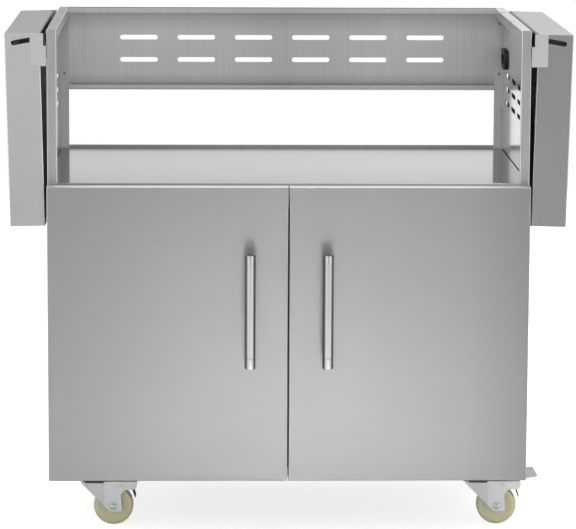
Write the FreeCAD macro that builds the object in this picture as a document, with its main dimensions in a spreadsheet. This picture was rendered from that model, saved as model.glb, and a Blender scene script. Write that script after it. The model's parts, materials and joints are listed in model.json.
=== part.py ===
import FreeCAD, Part
import math
import os
import re
import Sketcher

# Grill cart with storage: a folded stainless cabinet on four swivel casters, two hinged
# doors, an open bay above a deck for a grill head, and two side shelves that fold down.
# Millimetres. X to the right, Y from the front to the back, Z up from the floor.
# The origin is on the floor, in the middle of the whole cart's width and depth.

# Driving dimensions
SIZES = {
    # cabinet
    "CabinetWidth": 889.0,
    "CabinetDepth": 535.0,
    "CartHeight": 944.0,
    "DeckHeight": 662.0,
    "Sheet": 1.2,
    "FitGap": 0.3,
    "BendRadius": 2.0,
    "PostWidth": 18.7,
    "PostReturn": 10.0,
    "TopLip": 18.0,
    "NotchWidth": 10.0,
    "NotchDepth": 14.0,
    "FrontNotch": 218.0,
    "RearNotchBack": 112.0,
    "ScrewInset": 40.0,
    "ScrewMargin": 32.0,
    # punched slots
    "SlotLength": 75.0,
    "SlotHeight": 9.4,
    "BackSlotMargin": 158.5,
    "SideSlotStart": 85.5,
    "SideSlotEnd": 106.3,
    "SideSlotDrop": 126.5,
    "SideRowPitch": 27.5,
    # back panels
    "BackHeight": 163.5,
    "BackLip": 10.0,
    "BackFlange": 15.0,
    "BackRowTop": 60.0,
    "BackRowPitch": 44.5,
    "LowerUpstand": 6.0,
    # deck and floor
    "DeckApron": 45.0,
    "TrayGap": 1.5,
    "SkirtDepth": 20.0,
    # hose opening in the right wall
    "HoseBackward": 73.5,
    "HoseLength": 57.0,
    "HoseHeight": 26.0,
    "HoseDrop": 98.5,
    "HoseRim": 6.5,
    "HoseProud": 5.0,
    "HoseBack": 1.5,
    "HoseRecess": 3.5,
    "MembraneSlit": 1.6,
    "LedgeDrop": 199.0,
    "LedgeLength": 20.0,
    "LedgeProud": 9.0,
    "LedgeLeg": 12.0,
    "LedgeBackward": 30.0,
    # doors
    "DoorTopGap": 4.0,
    "DoorOverhang": 3.0,
    "DoorFace": 28.0,
    "DoorBack": 2.5,
    "DoorGap": 2.6,
    "DoorFold": 1.8,
    "HingeInset": 6.0,
    "HingeAhead": 16.0,
    "PinDiameter": 5.0,
    "PinFit": 0.05,
    "BushDiameter": 7.0,
    "BushCollar": 9.0,
    "BushSeat": 3.0,
    "TabSheet": 2.5,
    "TabWidth": 8.8,
    "LeafHeight": 30.0,
    "LeafReach": 14.0,
    "LeafSheet": 2.0,
    "StudShank": 4.0,
    "NutWidth": 7.5,
    "NutDepth": 2.4,
    "CatchOffset": 62.0,
    "CatchWidth": 42.0,
    "CatchHeight": 12.0,
    "CatchDepth": 18.0,
    "CatchDrop": 20.0,
    "CatchEar": 6.0,
    # door handles
    "BarDiameter": 20.0,
    "BarLength": 211.0,
    "BarDrop": 226.0,
    "BarInset": 71.5,
    "BarReach": 35.5,
    "BarCap": 19.5,
    "BarGroove": 1.4,
    "GrooveDepth": 0.8,
    "BarChamfer": 1.0,
    "StandoffDiameter": 11.0,
    "StandoffFoot": 2.0,
    "HandleScrew": 5.0,
    "HandleBore": 12.0,
    # folding shelves
    "ShelfLength": 356.0,
    "ShelfHeight": 65.0,
    "ShelfTilt": 1.3,
    "ShelfNose": 7.0,
    "ShelfHem": 12.0,
    "HemGap": 11.64,
    "StudDrop": 18.0,
    "StudDiameter": 7.0,
    "SlotUpperOut": 17.2,
    "SlotUpperDrop": 16.8,
    "SlotRun": 34.3,
    "SlotSlant": 9.4,
    "StudSlotWidth": 9.0,
    "StiffenerWidth": 70.0,
    "StiffenerHeight": 18.0,
    "BracketSheet": 2.0,
    "BracketGap": 2.5,
    "StudEdge": 3.7,
    "BracketTopDrop": 6.5,
    "BracketHeight": 60.0,
    "BracketStepDrop": 29.5,
    "BracketNotch": 5.2,
    "BracketWeb": 14.0,
    "BracketTail": 45.0,
    # casters
    "CasterInset": 81.5,
    "CasterBack": 82.0,
    "WheelDiameter": 75.0,
    "WheelWidth": 26.0,
    "WheelRound": 8.0,
    "WheelRecess": 3.0,
    "RimDepth": 11.0,
    "HubDiameter": 20.0,
    "HubProud": 2.5,
    "HubGap": 2.5,
    "Trail": 36.0,
    "PlateLength": 95.0,
    "PlateWidth": 67.0,
    "PlateSheet": 3.0,
    "BoltSpan": 75.0,
    "BoltPitch": 45.0,
    "BoltDiameter": 8.0,
    "HeadHeight": 5.0,
    "RaceDiameter": 52.0,
    "RaceDrop": 10.0,
    "RaceEdge": 3.0,
    "KingpinDiameter": 10.0,
    "CrownGap": 7.0,
    "CrownSheet": 3.0,
    "CrownRise": 12.0,
    "CrownDiameter": 54.0,
    "ForkSheet": 2.5,
    "ForkReach": 82.0,
    "CheekLip": 4.0,
    "CheekFoot": 13.0,
    "CheekFlare": 3.0,
    "FootDrop": 10.5,
    "FootCorner": 3.0,
    "CheekThroat": 14.0,
    "ArmRise": 32.0,
    "ArmCorner": 5.0,
    "AxleDiameter": 8.0,
    "NutAcross": 13.0,
    "NutHeight": 6.5,
    "RivetOut": 48.5,
    "RivetRise": 2.0,
    "RivetDiameter": 5.0,
    "RivetHead": 1.5,
    "PedalReach": 64.5,
    "PedalWidth": 34.0,
    "PedalSheet": 2.0,
    "PedalPlay": 1.0,
    "PedalEye": 12.0,
    "PedalElbow": 24.0,
    "PedalDip": 9.0,
    "BladeReach": 28.0,
    "BladeDrop": 23.0,
    "PadStart": 34.0,
    "PadLow": 12.0,
    "PadThick": 3.5,
    "PadTip": 18.0,
    "PadRise": 28.5,
    "PadLean": 6.0,
    "RailWidth": 112.0,
    "RailSheet": 2.0,
}

BACK_COLUMNS = 6
SIDE_COLUMNS = 4
SIDE_ROWS = 3

# Sizes that follow from the driving ones
DERIVED = {
    "CrownTop": "WheelDiameter + CrownGap + CrownSheet",
    "BaseHeight": "CrownTop + CrownRise + RaceDrop + PlateSheet",
    "ForkGap": "WheelWidth + 2*HubProud + 2*HubGap",
    "RivetHeight": "WheelDiameter + RivetRise",
    "FloorHeight": "BaseHeight + SkirtDepth",
    "DoorTop": "DeckHeight - DoorTopGap",
    "DoorBottom": "BaseHeight - DoorOverhang",
    "BarCentre": "DoorTop - BarDrop",
    "RearNotch": "CabinetDepth - RearNotchBack",
    "SideSlotTop": "CartHeight - SideSlotDrop",
    "SideSlotPitch": "(CabinetDepth - SideSlotStart - SideSlotEnd)/%d" % (SIDE_COLUMNS - 1),
    "BackSlotPitch": "(CabinetWidth - 2*BackSlotMargin)/%d" % (BACK_COLUMNS - 1),
    "HoseStart": "CabinetDepth - HoseBackward",
    "HoseCentre": "CartHeight - HoseDrop",
    "LedgeHeight": "CartHeight - LedgeDrop",
    "HoodHeight": "HoseCentre + HoseHeight/2 + HoseRim + FitGap",
    "LedgeStart": "CabinetDepth - LedgeBackward",
    "StudOut": "ShelfHeight - SlotUpperDrop - SlotRun*cos(SlotSlant) + HemGap",
    "StudHeight": "CartHeight - StudDrop",
    "BracketReach": "StudOut + StudEdge",
    "BracketTop": "CartHeight - BracketTopDrop",
    "BracketStep": "CartHeight - BracketStepDrop",
    "BracketBottom": "BracketTop - BracketHeight",
}

HALF = "CabinetWidth/2"
FRONT = "(DoorFace + BarReach + BarDiameter/2 - CabinetDepth - BracketGap - BracketSheet)/2"
SIDES = (("left", -1), ("right", 1))
UPPER_SCREWS = ["CartHeight - ScrewMargin", "CartHeight - BackHeight + ScrewMargin"]
LOWER_SCREWS = ["DeckHeight - ScrewInset", "(DeckHeight + BaseHeight)/2", "BaseHeight + ScrewInset"]
HINGE_REACH = "(BushSeat + TabSheet + 3*FitGap)"
UP = FreeCAD.Vector(0, 0, 1)
BACKWARD = FreeCAD.Vector(0, 1, 0)
FORWARD = FreeCAD.Vector(0, -1, 0)

doc = FreeCAD.newDocument("GrillCart")
sheet = doc.addObject("Spreadsheet::Sheet", "Sizes")
for row, alias in enumerate(list(SIZES) + list(DERIVED), start=1):
    sheet.set("A%d" % row, alias)
    sheet.setAlias("B%d" % row, alias)
    sheet.set(alias, str(SIZES[alias]) if alias in SIZES else "=" + DERIVED[alias])
    doc.recompute()

subparts = []
cuts = []


def named(expression):
    """Put the sheet's name in front of every size in an expression."""
    return re.sub(r"\b[A-Z][A-Za-z]+\b", lambda word: "Sizes." + word.group(0), expression)


def value(expression):
    """The number that an expression gives with the sheet's present sizes."""
    return float(sheet.evalExpression(expression))


def on_side(side, expression):
    """An X position on the left (-1) or the right (1) of the middle."""
    return expression if side > 0 else "-(%s)" % expression


def new_body(label, x="0", y="0", z="0"):
    """A sub-part whose own frame stands at x, z and a distance y behind the cabinet's front."""
    body = doc.addObject("PartDesign::Body", label)
    body.Label = label
    body.setExpression("Placement.Base.x", named(x))
    body.setExpression("Placement.Base.y", named(FRONT + " + " + y))
    body.setExpression("Placement.Base.z", named(z))
    subparts.append(body)
    return body


class Drawing:
    """A sketch on one of its body's own origin planes, each point tied to the sheet."""

    def __init__(self, body, plane, name, at="0"):
        self.body = body
        self.plane = plane
        self.name = name
        self.sketch = body.newObject("Sketcher::SketchObject", name + "_sketch")
        role = plane + "_Plane"
        support = [item for item in body.Origin.OriginFeatures if item.Role == role][0]
        self.sketch.AttachmentSupport = [(support, "")]
        self.sketch.MapMode = "FlatFace"
        lift = "-(%s)" % at if plane == "XZ" else at
        self.sketch.setExpression("AttachmentOffset.Base.z", named(lift))

    def tie(self, geometry, point, across, up):
        """Hold a point at two distances from the sketch's origin."""
        for kind, distance in (("DistanceX", across), ("DistanceY", up)):
            number = value(distance)
            if number >= 0:
                pair = (-1, 1, geometry, point)
                distance = named(distance)
            else:
                pair = (geometry, point, -1, 1)
                distance = "-(%s)" % named(distance)
            index = self.sketch.addConstraint(Sketcher.Constraint(kind, *pair, abs(number)))
            self.sketch.setExpression("Constraints[%d]" % index, distance)

    def outline(self, corners):
        """A closed outline of straight lines through corners given as expressions."""
        points = [FreeCAD.Vector(value(x), value(y), 0) for x, y in corners]
        first = self.sketch.GeometryCount
        count = len(points)
        for i in range(count):
            line = Part.LineSegment(points[i], points[(i + 1) % count])
            self.sketch.addGeometry(line, False)
        for i in range(count):
            ends = (first + i, 2, first + (i + 1) % count, 1)
            self.sketch.addConstraint(Sketcher.Constraint("Coincident", *ends))
        for i, (x, y) in enumerate(corners):
            self.tie(first + i, 1, x, y)
        return self

    def box(self, x1, x2, y1, y2):
        """A rectangle between two X and two Y expressions."""
        return self.outline([(x1, y1), (x2, y1), (x2, y2), (x1, y2)])

    def circle(self, x, y, diameter):
        """A circle about a point."""
        centre = FreeCAD.Vector(value(x), value(y), 0)
        ring = Part.Circle(centre, FreeCAD.Vector(0, 0, 1), value(diameter) / 2)
        index = self.sketch.addGeometry(ring, False)
        self.tie(index, 3, x, y)
        size = self.sketch.addConstraint(Sketcher.Constraint("Diameter", index, value(diameter)))
        self.sketch.setExpression("Constraints[%d]" % size, named(diameter))
        return self

    def slot(self, start, end, width):
        """A round-ended slot between two arc centres, each a pair of expressions."""
        a = FreeCAD.Vector(value(start[0]), value(start[1]), 0)
        b = FreeCAD.Vector(value(end[0]), value(end[1]), 0)
        radius = value(width) / 2
        angle = math.atan2(b.y - a.y, b.x - a.x)
        side = FreeCAD.Vector(-math.sin(angle), math.cos(angle), 0) * radius
        quarter = math.pi / 2
        up = FreeCAD.Vector(0, 0, 1)
        near = Part.ArcOfCircle(Part.Circle(a, up, radius), angle + quarter, angle + 3 * quarter)
        far = Part.ArcOfCircle(Part.Circle(b, up, radius), angle - quarter, angle + quarter)
        first = self.sketch.GeometryCount
        self.sketch.addGeometry([near, far], False)
        self.sketch.addGeometry(Part.LineSegment(a - side, b - side), False)
        self.sketch.addGeometry(Part.LineSegment(b + side, a + side), False)
        for pair in ((0, 2, 2, 1), (2, 2, 1, 1), (1, 2, 3, 1), (3, 2, 0, 1)):
            joint = (first + pair[0], pair[1], first + pair[2], pair[3])
            self.sketch.addConstraint(Sketcher.Constraint("Tangent", *joint))
        self.tie(first, 3, *start)
        self.tie(first + 1, 3, *end)
        size = self.sketch.addConstraint(Sketcher.Constraint("Radius", first, radius))
        self.sketch.setExpression("Constraints[%d]" % size, "(%s)/2" % named(width))
        return self

    def pad(self, length, symmetric=False):
        """Add the outline's solid, towards +X, +Y or +Z from its plane."""
        pad = self.body.newObject("PartDesign::Pad", self.name)
        pad.Profile = self.sketch
        pad.Reversed = self.plane == "XZ"
        pad.SideType = "Symmetric" if symmetric else "One side"
        pad.setExpression("Length", named(length))
        return pad

    def cut(self, length, symmetric=False):
        """Take the outline's solid away, towards +X, +Y or +Z from its plane."""
        pocket = self.body.newObject("PartDesign::Pocket", self.name)
        pocket.Profile = self.sketch
        pocket.Reversed = self.plane != "XZ"
        pocket.SideType = "Symmetric" if symmetric else "One side"
        pocket.setExpression("Length", named(length))
        cuts.append(pocket)
        return pocket

    def revolve(self, axis="V_Axis"):
        """Turn the outline once round an axis of its own sketch."""
        turned = self.body.newObject("PartDesign::Revolution", self.name)
        turned.Profile = self.sketch
        turned.ReferenceAxis = (self.sketch, [axis])
        turned.Angle = 360
        return turned


def repeat(feature, name, axis, pitch, count):
    """Copy a feature along its sketch's H_Axis, V_Axis or N_Axis."""
    body = feature.getParentGeoFeatureGroup()
    pattern = body.newObject("PartDesign::LinearPattern", name)
    pattern.Originals = [feature]
    pattern.Direction = (feature.Profile[0], [axis])
    pattern.setExpression("Length", named(pitch) + " * %d" % (count - 1))
    pattern.Occurrences = count
    body.Tip = pattern
    return pattern


def edges_where(feature, test):
    """Names of a feature's edges whose middle and direction pass a test."""
    doc.recompute()
    names = []
    for number, edge in enumerate(feature.Shape.Edges, start=1):
        low, high = edge.ParameterRange
        middle = edge.valueAt((low + high) / 2)
        run = edge.valueAt(high) - edge.valueAt(low)
        if run.Length > 0 and test(middle, run.normalize()):
            names.append("Edge%d" % number)
    return names


def round_edges(feature, name, radius, test):
    """Round the edges that pass a test."""
    body = feature.getParentGeoFeatureGroup()
    names = edges_where(feature, test)
    fillet = body.newObject("PartDesign::Fillet", name)
    fillet.Base = (feature, names)
    fillet.setExpression("Radius", named(radius))
    return fillet


def near(a, b):
    """Whether two lengths are the same."""
    return abs(a - b) < 0.01


# Cabinet


def side_panel(name, side):
    """One wall of the cart: posts folded front and back, a lipped top flange, punched slots."""
    body = new_body(name + "_side_panel")
    outer = on_side(side, HALF)
    inner = on_side(side, HALF + " - Sheet")
    post = on_side(side, HALF + " - PostWidth")
    lip = on_side(side, HALF + " - PostWidth + Sheet")
    half_post = on_side(side, HALF + " - PostWidth/2")
    Drawing(body, "XY", "wall", "BaseHeight").outline([
        (outer, "0"), (post, "0"), (post, "PostReturn"), (lip, "PostReturn"),
        (lip, "Sheet"), (inner, "Sheet"), (inner, "CabinetDepth - Sheet"),
        (post, "CabinetDepth - Sheet"), (post, "CabinetDepth"), (outer, "CabinetDepth"),
    ]).pad("CartHeight - BaseHeight")
    Drawing(body, "XY", "top_flange", "CartHeight - Sheet").box(
        outer, post, "0", "CabinetDepth").pad("Sheet")
    flange = Drawing(body, "XY", "top_lip", "CartHeight - TopLip").box(
        lip, post, "0", "CabinetDepth").pad("TopLip")
    across = (value(outer), value(post))
    along = (0.0, value("CabinetDepth"))
    crest = value("CartHeight")
    round_edges(flange, "folds", "BendRadius", lambda at, run: any(near(at.x, x) for x in across) and (
        (near(abs(run.z), 1) and any(near(at.y, y) for y in along))
        or (near(abs(run.y), 1) and near(at.z, crest))))
    for label, centre in (("front_notch", "FrontNotch"), ("rear_notch", "RearNotch")):
        Drawing(body, "XY", label, "CartHeight - NotchDepth").box(
            half_post, on_side(side, HALF + " - PostWidth - Sheet"),
            centre + " - NotchWidth/2", centre + " + NotchWidth/2").cut("NotchDepth + Sheet")
    row = Drawing(body, "YZ", "side_slots", on_side(side, HALF) + " - 2*Sheet")
    for column in range(SIDE_COLUMNS):
        centre = "SideSlotStart + %d*SideSlotPitch" % column
        row.slot((centre + " - (SlotLength - SlotHeight)/2", "SideSlotTop - 2*SideRowPitch"),
                 (centre + " + (SlotLength - SlotHeight)/2", "SideSlotTop - 2*SideRowPitch"),
                 "SlotHeight")
    repeat(row.cut("4*Sheet"), "side_slot_rows", "V_Axis", "SideRowPitch", SIDE_ROWS)
    hinge_slots(body, side)
    screw_holes(body, UPPER_SCREWS + LOWER_SCREWS, (side,))
    if side > 0:
        hose_opening(body)
    return body


def hinge_slots(body, side):
    """Slots in the front post that the two hinge tabs reach through."""
    centre = on_side(side, HALF + " - HingeInset")
    width = "(TabWidth/2 + FitGap)"
    tabs = (("lower_hinge_slot", lower_tab()), ("upper_hinge_slot", upper_tab()))
    for label, bottom in tabs:
        Drawing(body, "XZ", label, "-Sheet").box(
            "%s - %s" % (centre, width), "%s + %s" % (centre, width),
            bottom + " - FitGap", bottom + " + TabSheet + FitGap").cut("3*Sheet")


def hose_opening(body):
    """A round-ended opening in the right wall for the gas hose."""
    inside = "HoseHeight/2"
    opening = Drawing(body, "YZ", "hose_opening", HALF + " - 2*Sheet")
    opening.slot(("HoseStart + " + inside, "HoseCentre"),
                 ("HoseStart + HoseLength - " + inside, "HoseCentre"), "HoseHeight")
    opening.cut("4*Sheet")


def screw_holes(body, heights, sides):
    """Round holes through the rear posts' plane where the back panels are screwed on."""
    holes = Drawing(body, "XZ", "screw_holes", "CabinetDepth - 2*Sheet")
    for side in sides:
        for height in heights:
            holes.circle(on_side(side, HALF + " - PostWidth/2"), height, "StudShank + FitGap")
    holes.cut("4*Sheet")


def back_web(body, bottom, height, screws):
    """The flat web of a back panel, screwed against the rear posts."""
    Drawing(body, "XZ", "web", "CabinetDepth").box(
        "-(%s) + Sheet" % HALF, HALF + " - Sheet", bottom, bottom + " + " + height).pad("Sheet")
    screw_holes(body, screws, (-1, 1))


def back_flange(body, label, edge, inward):
    """A flange folded forward at one edge of a back panel, with a lip folded back over it."""
    near_edge = edge + (" + Sheet" if inward > 0 else " - Sheet")
    lip_edge = edge + (" + BackLip" if inward > 0 else " - BackLip")
    front = "CabinetDepth - BackFlange"
    flange = Drawing(body, "YZ", label, "-(%s) + PostWidth + FitGap" % HALF).outline([
        ("CabinetDepth", edge), (front, edge), (front, lip_edge), (front + " + Sheet", lip_edge),
        (front + " + Sheet", near_edge), ("CabinetDepth", near_edge),
    ]).pad("CabinetWidth - 2*PostWidth - 2*FitGap")
    corner = (value(front), value(edge))
    round_edges(flange, label + "_fold", "BendRadius", lambda at, run: near(
        at.y, corner[0]) and near(at.z, corner[1]) and near(abs(run.x), 1))


def upper_back_panel():
    """The slotted panel across the back of the grill bay."""
    body = new_body("upper_back_panel")
    bottom = "CartHeight - BackHeight"
    back_web(body, bottom, "BackHeight", UPPER_SCREWS)
    back_flange(body, "top_flange", "CartHeight", -1)
    back_flange(body, "bottom_flange", bottom, 1)
    row = Drawing(body, "XZ", "back_slots", "CabinetDepth - Sheet")
    level = "CartHeight - BackRowTop - BackRowPitch"
    for column in range(BACK_COLUMNS):
        centre = "%s*BackSlotPitch" % (column - (BACK_COLUMNS - 1) / 2)
        row.slot((centre + " - (SlotLength - SlotHeight)/2", level),
                 (centre + " + (SlotLength - SlotHeight)/2", level), "SlotHeight")
    repeat(row.cut("3*Sheet"), "back_slot_rows", "V_Axis", "BackRowPitch", 2)
    return body


def lower_back_panel():
    """The closed back of the cupboard, its top edge standing a little above the deck."""
    body = new_body("lower_back_panel")
    back_web(body, "BaseHeight", "DeckHeight + LowerUpstand - BaseHeight", LOWER_SCREWS)
    return body


def tray(label, top, apron):
    """A shelf of the cabinet: a flat top between the walls with its edges folded down."""
    body = new_body(label)
    front_half = HALF + " - PostWidth - FitGap"
    wide_half = HALF + " - Sheet - TrayGap"
    back = "CabinetDepth - Sheet - FitGap"
    start = "PostReturn + FitGap"
    middle = Drawing(body, "YZ", "middle", "-(%s)" % front_half).outline([
        ("0", "%s - %s" % (top, apron)), ("Sheet", "%s - %s" % (top, apron)),
        ("Sheet", top + " - Sheet"), (back + " - Sheet", top + " - Sheet"),
        (back + " - Sheet", top + " - SkirtDepth"), (back, top + " - SkirtDepth"),
        (back, top), ("0", top),
    ]).pad("2*(%s)" % front_half)
    level = value(top)
    round_edges(middle, "front_bend", "BendRadius",
                lambda at, run: near(at.y, 0) and near(at.z, level) and near(abs(run.x), 1))
    Drawing(body, "XZ", "wings", start).outline([
        ("-(%s)" % wide_half, top + " - SkirtDepth"),
        ("-(%s) + Sheet" % wide_half, top + " - SkirtDepth"),
        ("-(%s) + Sheet" % wide_half, top + " - Sheet"),
        (wide_half + " - Sheet", top + " - Sheet"),
        (wide_half + " - Sheet", top + " - SkirtDepth"),
        (wide_half, top + " - SkirtDepth"),
        (wide_half, top), ("-(%s)" % wide_half, top),
    ]).pad("%s - (%s)" % (back, start))
    return body


def deck():
    """The deck under the grill bay, with windows in its apron for the two door catches."""
    body = tray("deck", "DeckHeight", "DeckApron")
    for name, side in SIDES:
        centre = on_side(side, "CatchOffset")
        Drawing(body, "XZ", name + "_catch_window", "-Sheet").box(
            centre + " - CatchWidth/2 - FitGap", centre + " + CatchWidth/2 + FitGap",
            "DeckHeight - CatchDrop - CatchHeight - FitGap",
            "DeckHeight - CatchDrop + FitGap").cut("3*Sheet")
    return body


def caster_rail(name, side):
    """A channel under one side of the floor that stiffens it where the casters bolt on."""
    body = new_body(name + "_caster_rail")
    centre = on_side(side, HALF + " - CasterInset")
    low = "BaseHeight"
    high = "FloorHeight - Sheet"
    left = centre + " - RailWidth/2"
    right = centre + " + RailWidth/2"
    rail = Drawing(body, "XZ", "channel", "2*Sheet").outline([
        (left, low), (right, low), (right, high), (right + " - RailSheet", high),
        (right + " - RailSheet", low + " + RailSheet"), (left + " + RailSheet", low + " + RailSheet"),
        (left + " + RailSheet", high), (left, high),
    ])
    rail.pad("CabinetDepth - 6*Sheet")
    holes = Drawing(body, "XY", "bolt_holes", "BaseHeight - Sheet")
    for y in ("CasterBack", "CabinetDepth - CasterBack"):
        for x, offset in bolt_spots():
            holes.circle("%s + %s" % (centre, x), "%s + %s" % (y, offset), "BoltDiameter + FitGap")
    holes.cut("RailSheet + 2*Sheet")
    return body


def bolt_spots():
    """The four bolt positions of a caster plate about its middle."""
    return [(x + "BoltSpan/2", y + "BoltPitch/2") for x in ("-", "") for y in ("-", "")]


# Door hinges and catches


def lower_tab():
    """Height of the underside of the lower hinge tabs."""
    return "DoorBottom + Sheet + BushSeat + FitGap"


def upper_tab():
    """Height of the underside of the upper hinge tabs."""
    return "DoorTop - Sheet - BushSeat - FitGap - TabSheet"


def hinge_bracket(name, side, level):
    """An angle behind the front post, with the door's pin riveted in its tab ahead of the post."""
    body = new_body("%s_%s_hinge_bracket" % (name, level))
    bottom = lower_tab() if level == "lower" else upper_tab()
    x = on_side(side, HALF + " - HingeInset")
    tab = Drawing(body, "XY", "tab", bottom)
    tab.slot((x, "-HingeAhead"), (x, "-TabWidth"), "TabWidth").pad("TabSheet")
    half_tab = "TabWidth/2"
    Drawing(body, "XY", "tab_root", bottom).box(
        "%s - %s" % (x, half_tab), "%s + %s" % (x, half_tab), "-TabWidth",
        "Sheet + LeafSheet").pad("TabSheet")
    leaf_low = leaf_bottom(level)
    Drawing(body, "XZ", "leaf", "Sheet").box(
        on_side(side, HALF + " - HingeInset - LeafReach/2"), on_side(side, HALF + " - Sheet - FitGap"),
        leaf_low, leaf_low + " + LeafHeight").pad("LeafSheet")
    foot = "DoorBottom + FitGap" if level == "lower" else bottom
    Drawing(body, "XY", "pin", foot).circle(x, "-HingeAhead", "PinDiameter").pad(
        "TabSheet + BushSeat + Sheet")
    holes = Drawing(body, "XZ", "stud_holes", "0")
    for height in leaf_studs(level):
        holes.circle(x, height, "StudShank + FitGap")
    holes.cut("LeafSheet + 2*Sheet")
    return body


def leaf_bottom(level):
    """Height of the lower edge of a hinge bracket's leaf."""
    return lower_tab() if level == "lower" else upper_tab() + " + TabSheet - LeafHeight"


def leaf_studs(level):
    """Heights of the two weld studs that hold a hinge bracket."""
    shares = ("0.35", "0.8") if level == "lower" else ("0.2", "0.65")
    return ["%s + LeafHeight*%s" % (leaf_bottom(level), share) for share in shares]


def group(label, solids):
    """A sub-part made of several separate like solids."""
    item = doc.addObject("Part::Feature", label)
    item.Label = label
    item.Shape = Part.makeCompound(solids)
    item.Placement = FreeCAD.Placement()
    subparts.append(item)
    return item


def rod(foot, direction, length, width, shape):
    """A plain round rod, or a six-sided one by its width across flats."""
    if shape == "round":
        return Part.makeCylinder(width / 2, length, foot, direction)
    ring = Part.Circle(foot, direction, width / math.sqrt(3))
    corners = [ring.value(math.radians(60 * step)) for step in range(7)]
    return Part.Face(Part.makePolygon(corners)).extrude(direction * length)


def fasteners(label, spots):
    """A group of like pins, nuts or screws, each a stack of rods, as one sub-part.

    Each spot is (x, y, z, direction, [(start, length, width, shape), ...]) in expressions.
    """
    pieces = []
    for x, y, z, direction, steps in spots:
        base = FreeCAD.Vector(value(x), value(FRONT) + value(y), value(z))
        solid = None
        for start, length, width, shape in steps:
            foot = base + direction * value(start)
            step = rod(foot, direction, value(length), value(width), shape)
            solid = step if solid is None else solid.fuse(step)
        pieces += solid.removeSplitter().Solids
    return group(label, pieces)


def hinge_studs():
    """Weld studs behind the front posts, with the nuts that hold the hinge brackets."""
    spots = []
    for name, side in SIDES:
        x = on_side(side, HALF + " - HingeInset")
        for level in ("lower", "upper"):
            for height in leaf_studs(level):
                spots.append((x, "Sheet", height, BACKWARD,
                              [("0", "LeafSheet", "StudShank", "round"),
                               ("LeafSheet", "NutDepth", "NutWidth", "hexagon")]))
    return fasteners("hinge_studs", spots)


def magnet_catch(name, side):
    """A magnetic catch under the deck whose face looks out through the apron's window."""
    body = new_body(name + "_magnet_catch")
    centre = on_side(side, "CatchOffset")
    face = "-(DoorBack - FitGap)"
    top = "DeckHeight - CatchDrop"
    Drawing(body, "XZ", "case", face).box(
        centre + " - CatchWidth/2", centre + " + CatchWidth/2",
        top + " - CatchHeight", top).pad("CatchDepth")
    Drawing(body, "XZ", "ears", "Sheet").box(
        centre + " - CatchWidth/2 - CatchEar", centre + " + CatchWidth/2 + CatchEar",
        top + " - CatchHeight", top).pad("2*Sheet")
    return body


# Doors


def door_skin(name, side):
    """The outer shell of a door: a face with all four edges folded back."""
    body = new_body(name + "_door_skin")
    outer = on_side(side, HALF)
    inner = on_side(side, "DoorGap/2")
    depth = "DoorFace - DoorBack"
    shell = Drawing(body, "XZ", "shell", "-DoorFace").box(
        outer, inner, "DoorBottom", "DoorTop").pad(depth)
    face = value("-DoorFace")
    round_edges(shell, "folds", "DoorFold", lambda at, run: near(at.y, face))
    Drawing(body, "XZ", "hollow", "-DoorFace + Sheet").box(
        on_side(side, HALF + " - Sheet"), on_side(side, "DoorGap/2 + Sheet"),
        "DoorBottom + Sheet", "DoorTop - Sheet").cut(depth)
    screws = Drawing(body, "XZ", "handle_holes", "-DoorFace - Sheet")
    for height in handle_ends():
        screws.circle(on_side(side, "BarInset"), height, "HandleScrew + FitGap")
    screws.cut("3*Sheet")
    hinge = on_side(side, HALF + " - HingeInset")
    Drawing(body, "XY", "bush_holes", "DoorBottom - Sheet").circle(
        hinge, "-HingeAhead", "BushDiameter").cut("DoorTop - DoorBottom + 2*Sheet")
    reliefs = (("lower_relief", "DoorBottom + Sheet", "DoorBottom + Sheet + " + HINGE_REACH),
               ("upper_relief", "DoorTop - Sheet - " + HINGE_REACH, "DoorTop - Sheet"))
    for label, low, high in reliefs:
        Drawing(body, "YZ", label, on_side(side, HALF) + " - 2*Sheet").box(
            "-HingeAhead - TabWidth/2 - 2*FitGap", "0", low, high).cut("4*Sheet")
    return body


def door_liner(name, side):
    """The inner pan that closes a door's back, notched where the hinge tabs come through."""
    body = new_body(name + "_door_liner")
    edge = "(Sheet + FitGap/2)"
    Drawing(body, "XZ", "pan", "-DoorBack - Sheet").box(
        on_side(side, "%s - %s" % (HALF, edge)), on_side(side, "DoorGap/2 + " + edge),
        "DoorBottom + " + edge, "DoorTop - " + edge).pad("Sheet")
    bands = (("lower_notch", "DoorBottom", "DoorBottom + Sheet + " + HINGE_REACH),
             ("upper_notch", "DoorTop - Sheet - " + HINGE_REACH, "DoorTop"))
    for label, low, high in bands:
        Drawing(body, "XZ", label, "-DoorBack - 2*Sheet").box(
            on_side(side, HALF), on_side(side, HALF + " - HingeInset - TabWidth/2 - 5*FitGap"),
            low, high).cut("3*Sheet")
    return body


def door_bushes(name, side):
    """Two collared plastic bushes in the door's top and bottom folds."""
    x = on_side(side, HALF + " - HingeInset")
    bushes = []
    bore = "PinDiameter + 2*PinFit"
    for height, direction in (("DoorBottom", 1), ("DoorTop", -1)):
        foot = FreeCAD.Vector(value(x), value(FRONT + " - HingeAhead"), value(height))
        axis = UP * direction
        barrel = Part.makeCylinder(value("BushDiameter/2"), value("Sheet"), foot, axis)
        collar = Part.makeCylinder(value("BushCollar/2"), value("BushSeat"),
                                   foot + axis * value("Sheet"), axis)
        hole = Part.makeCylinder(value(bore) / 2, value("Sheet + BushSeat"), foot, axis)
        bushes += barrel.fuse(collar).removeSplitter().cut(hole).Solids
    return group(name + "_door_bushes", bushes)


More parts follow.
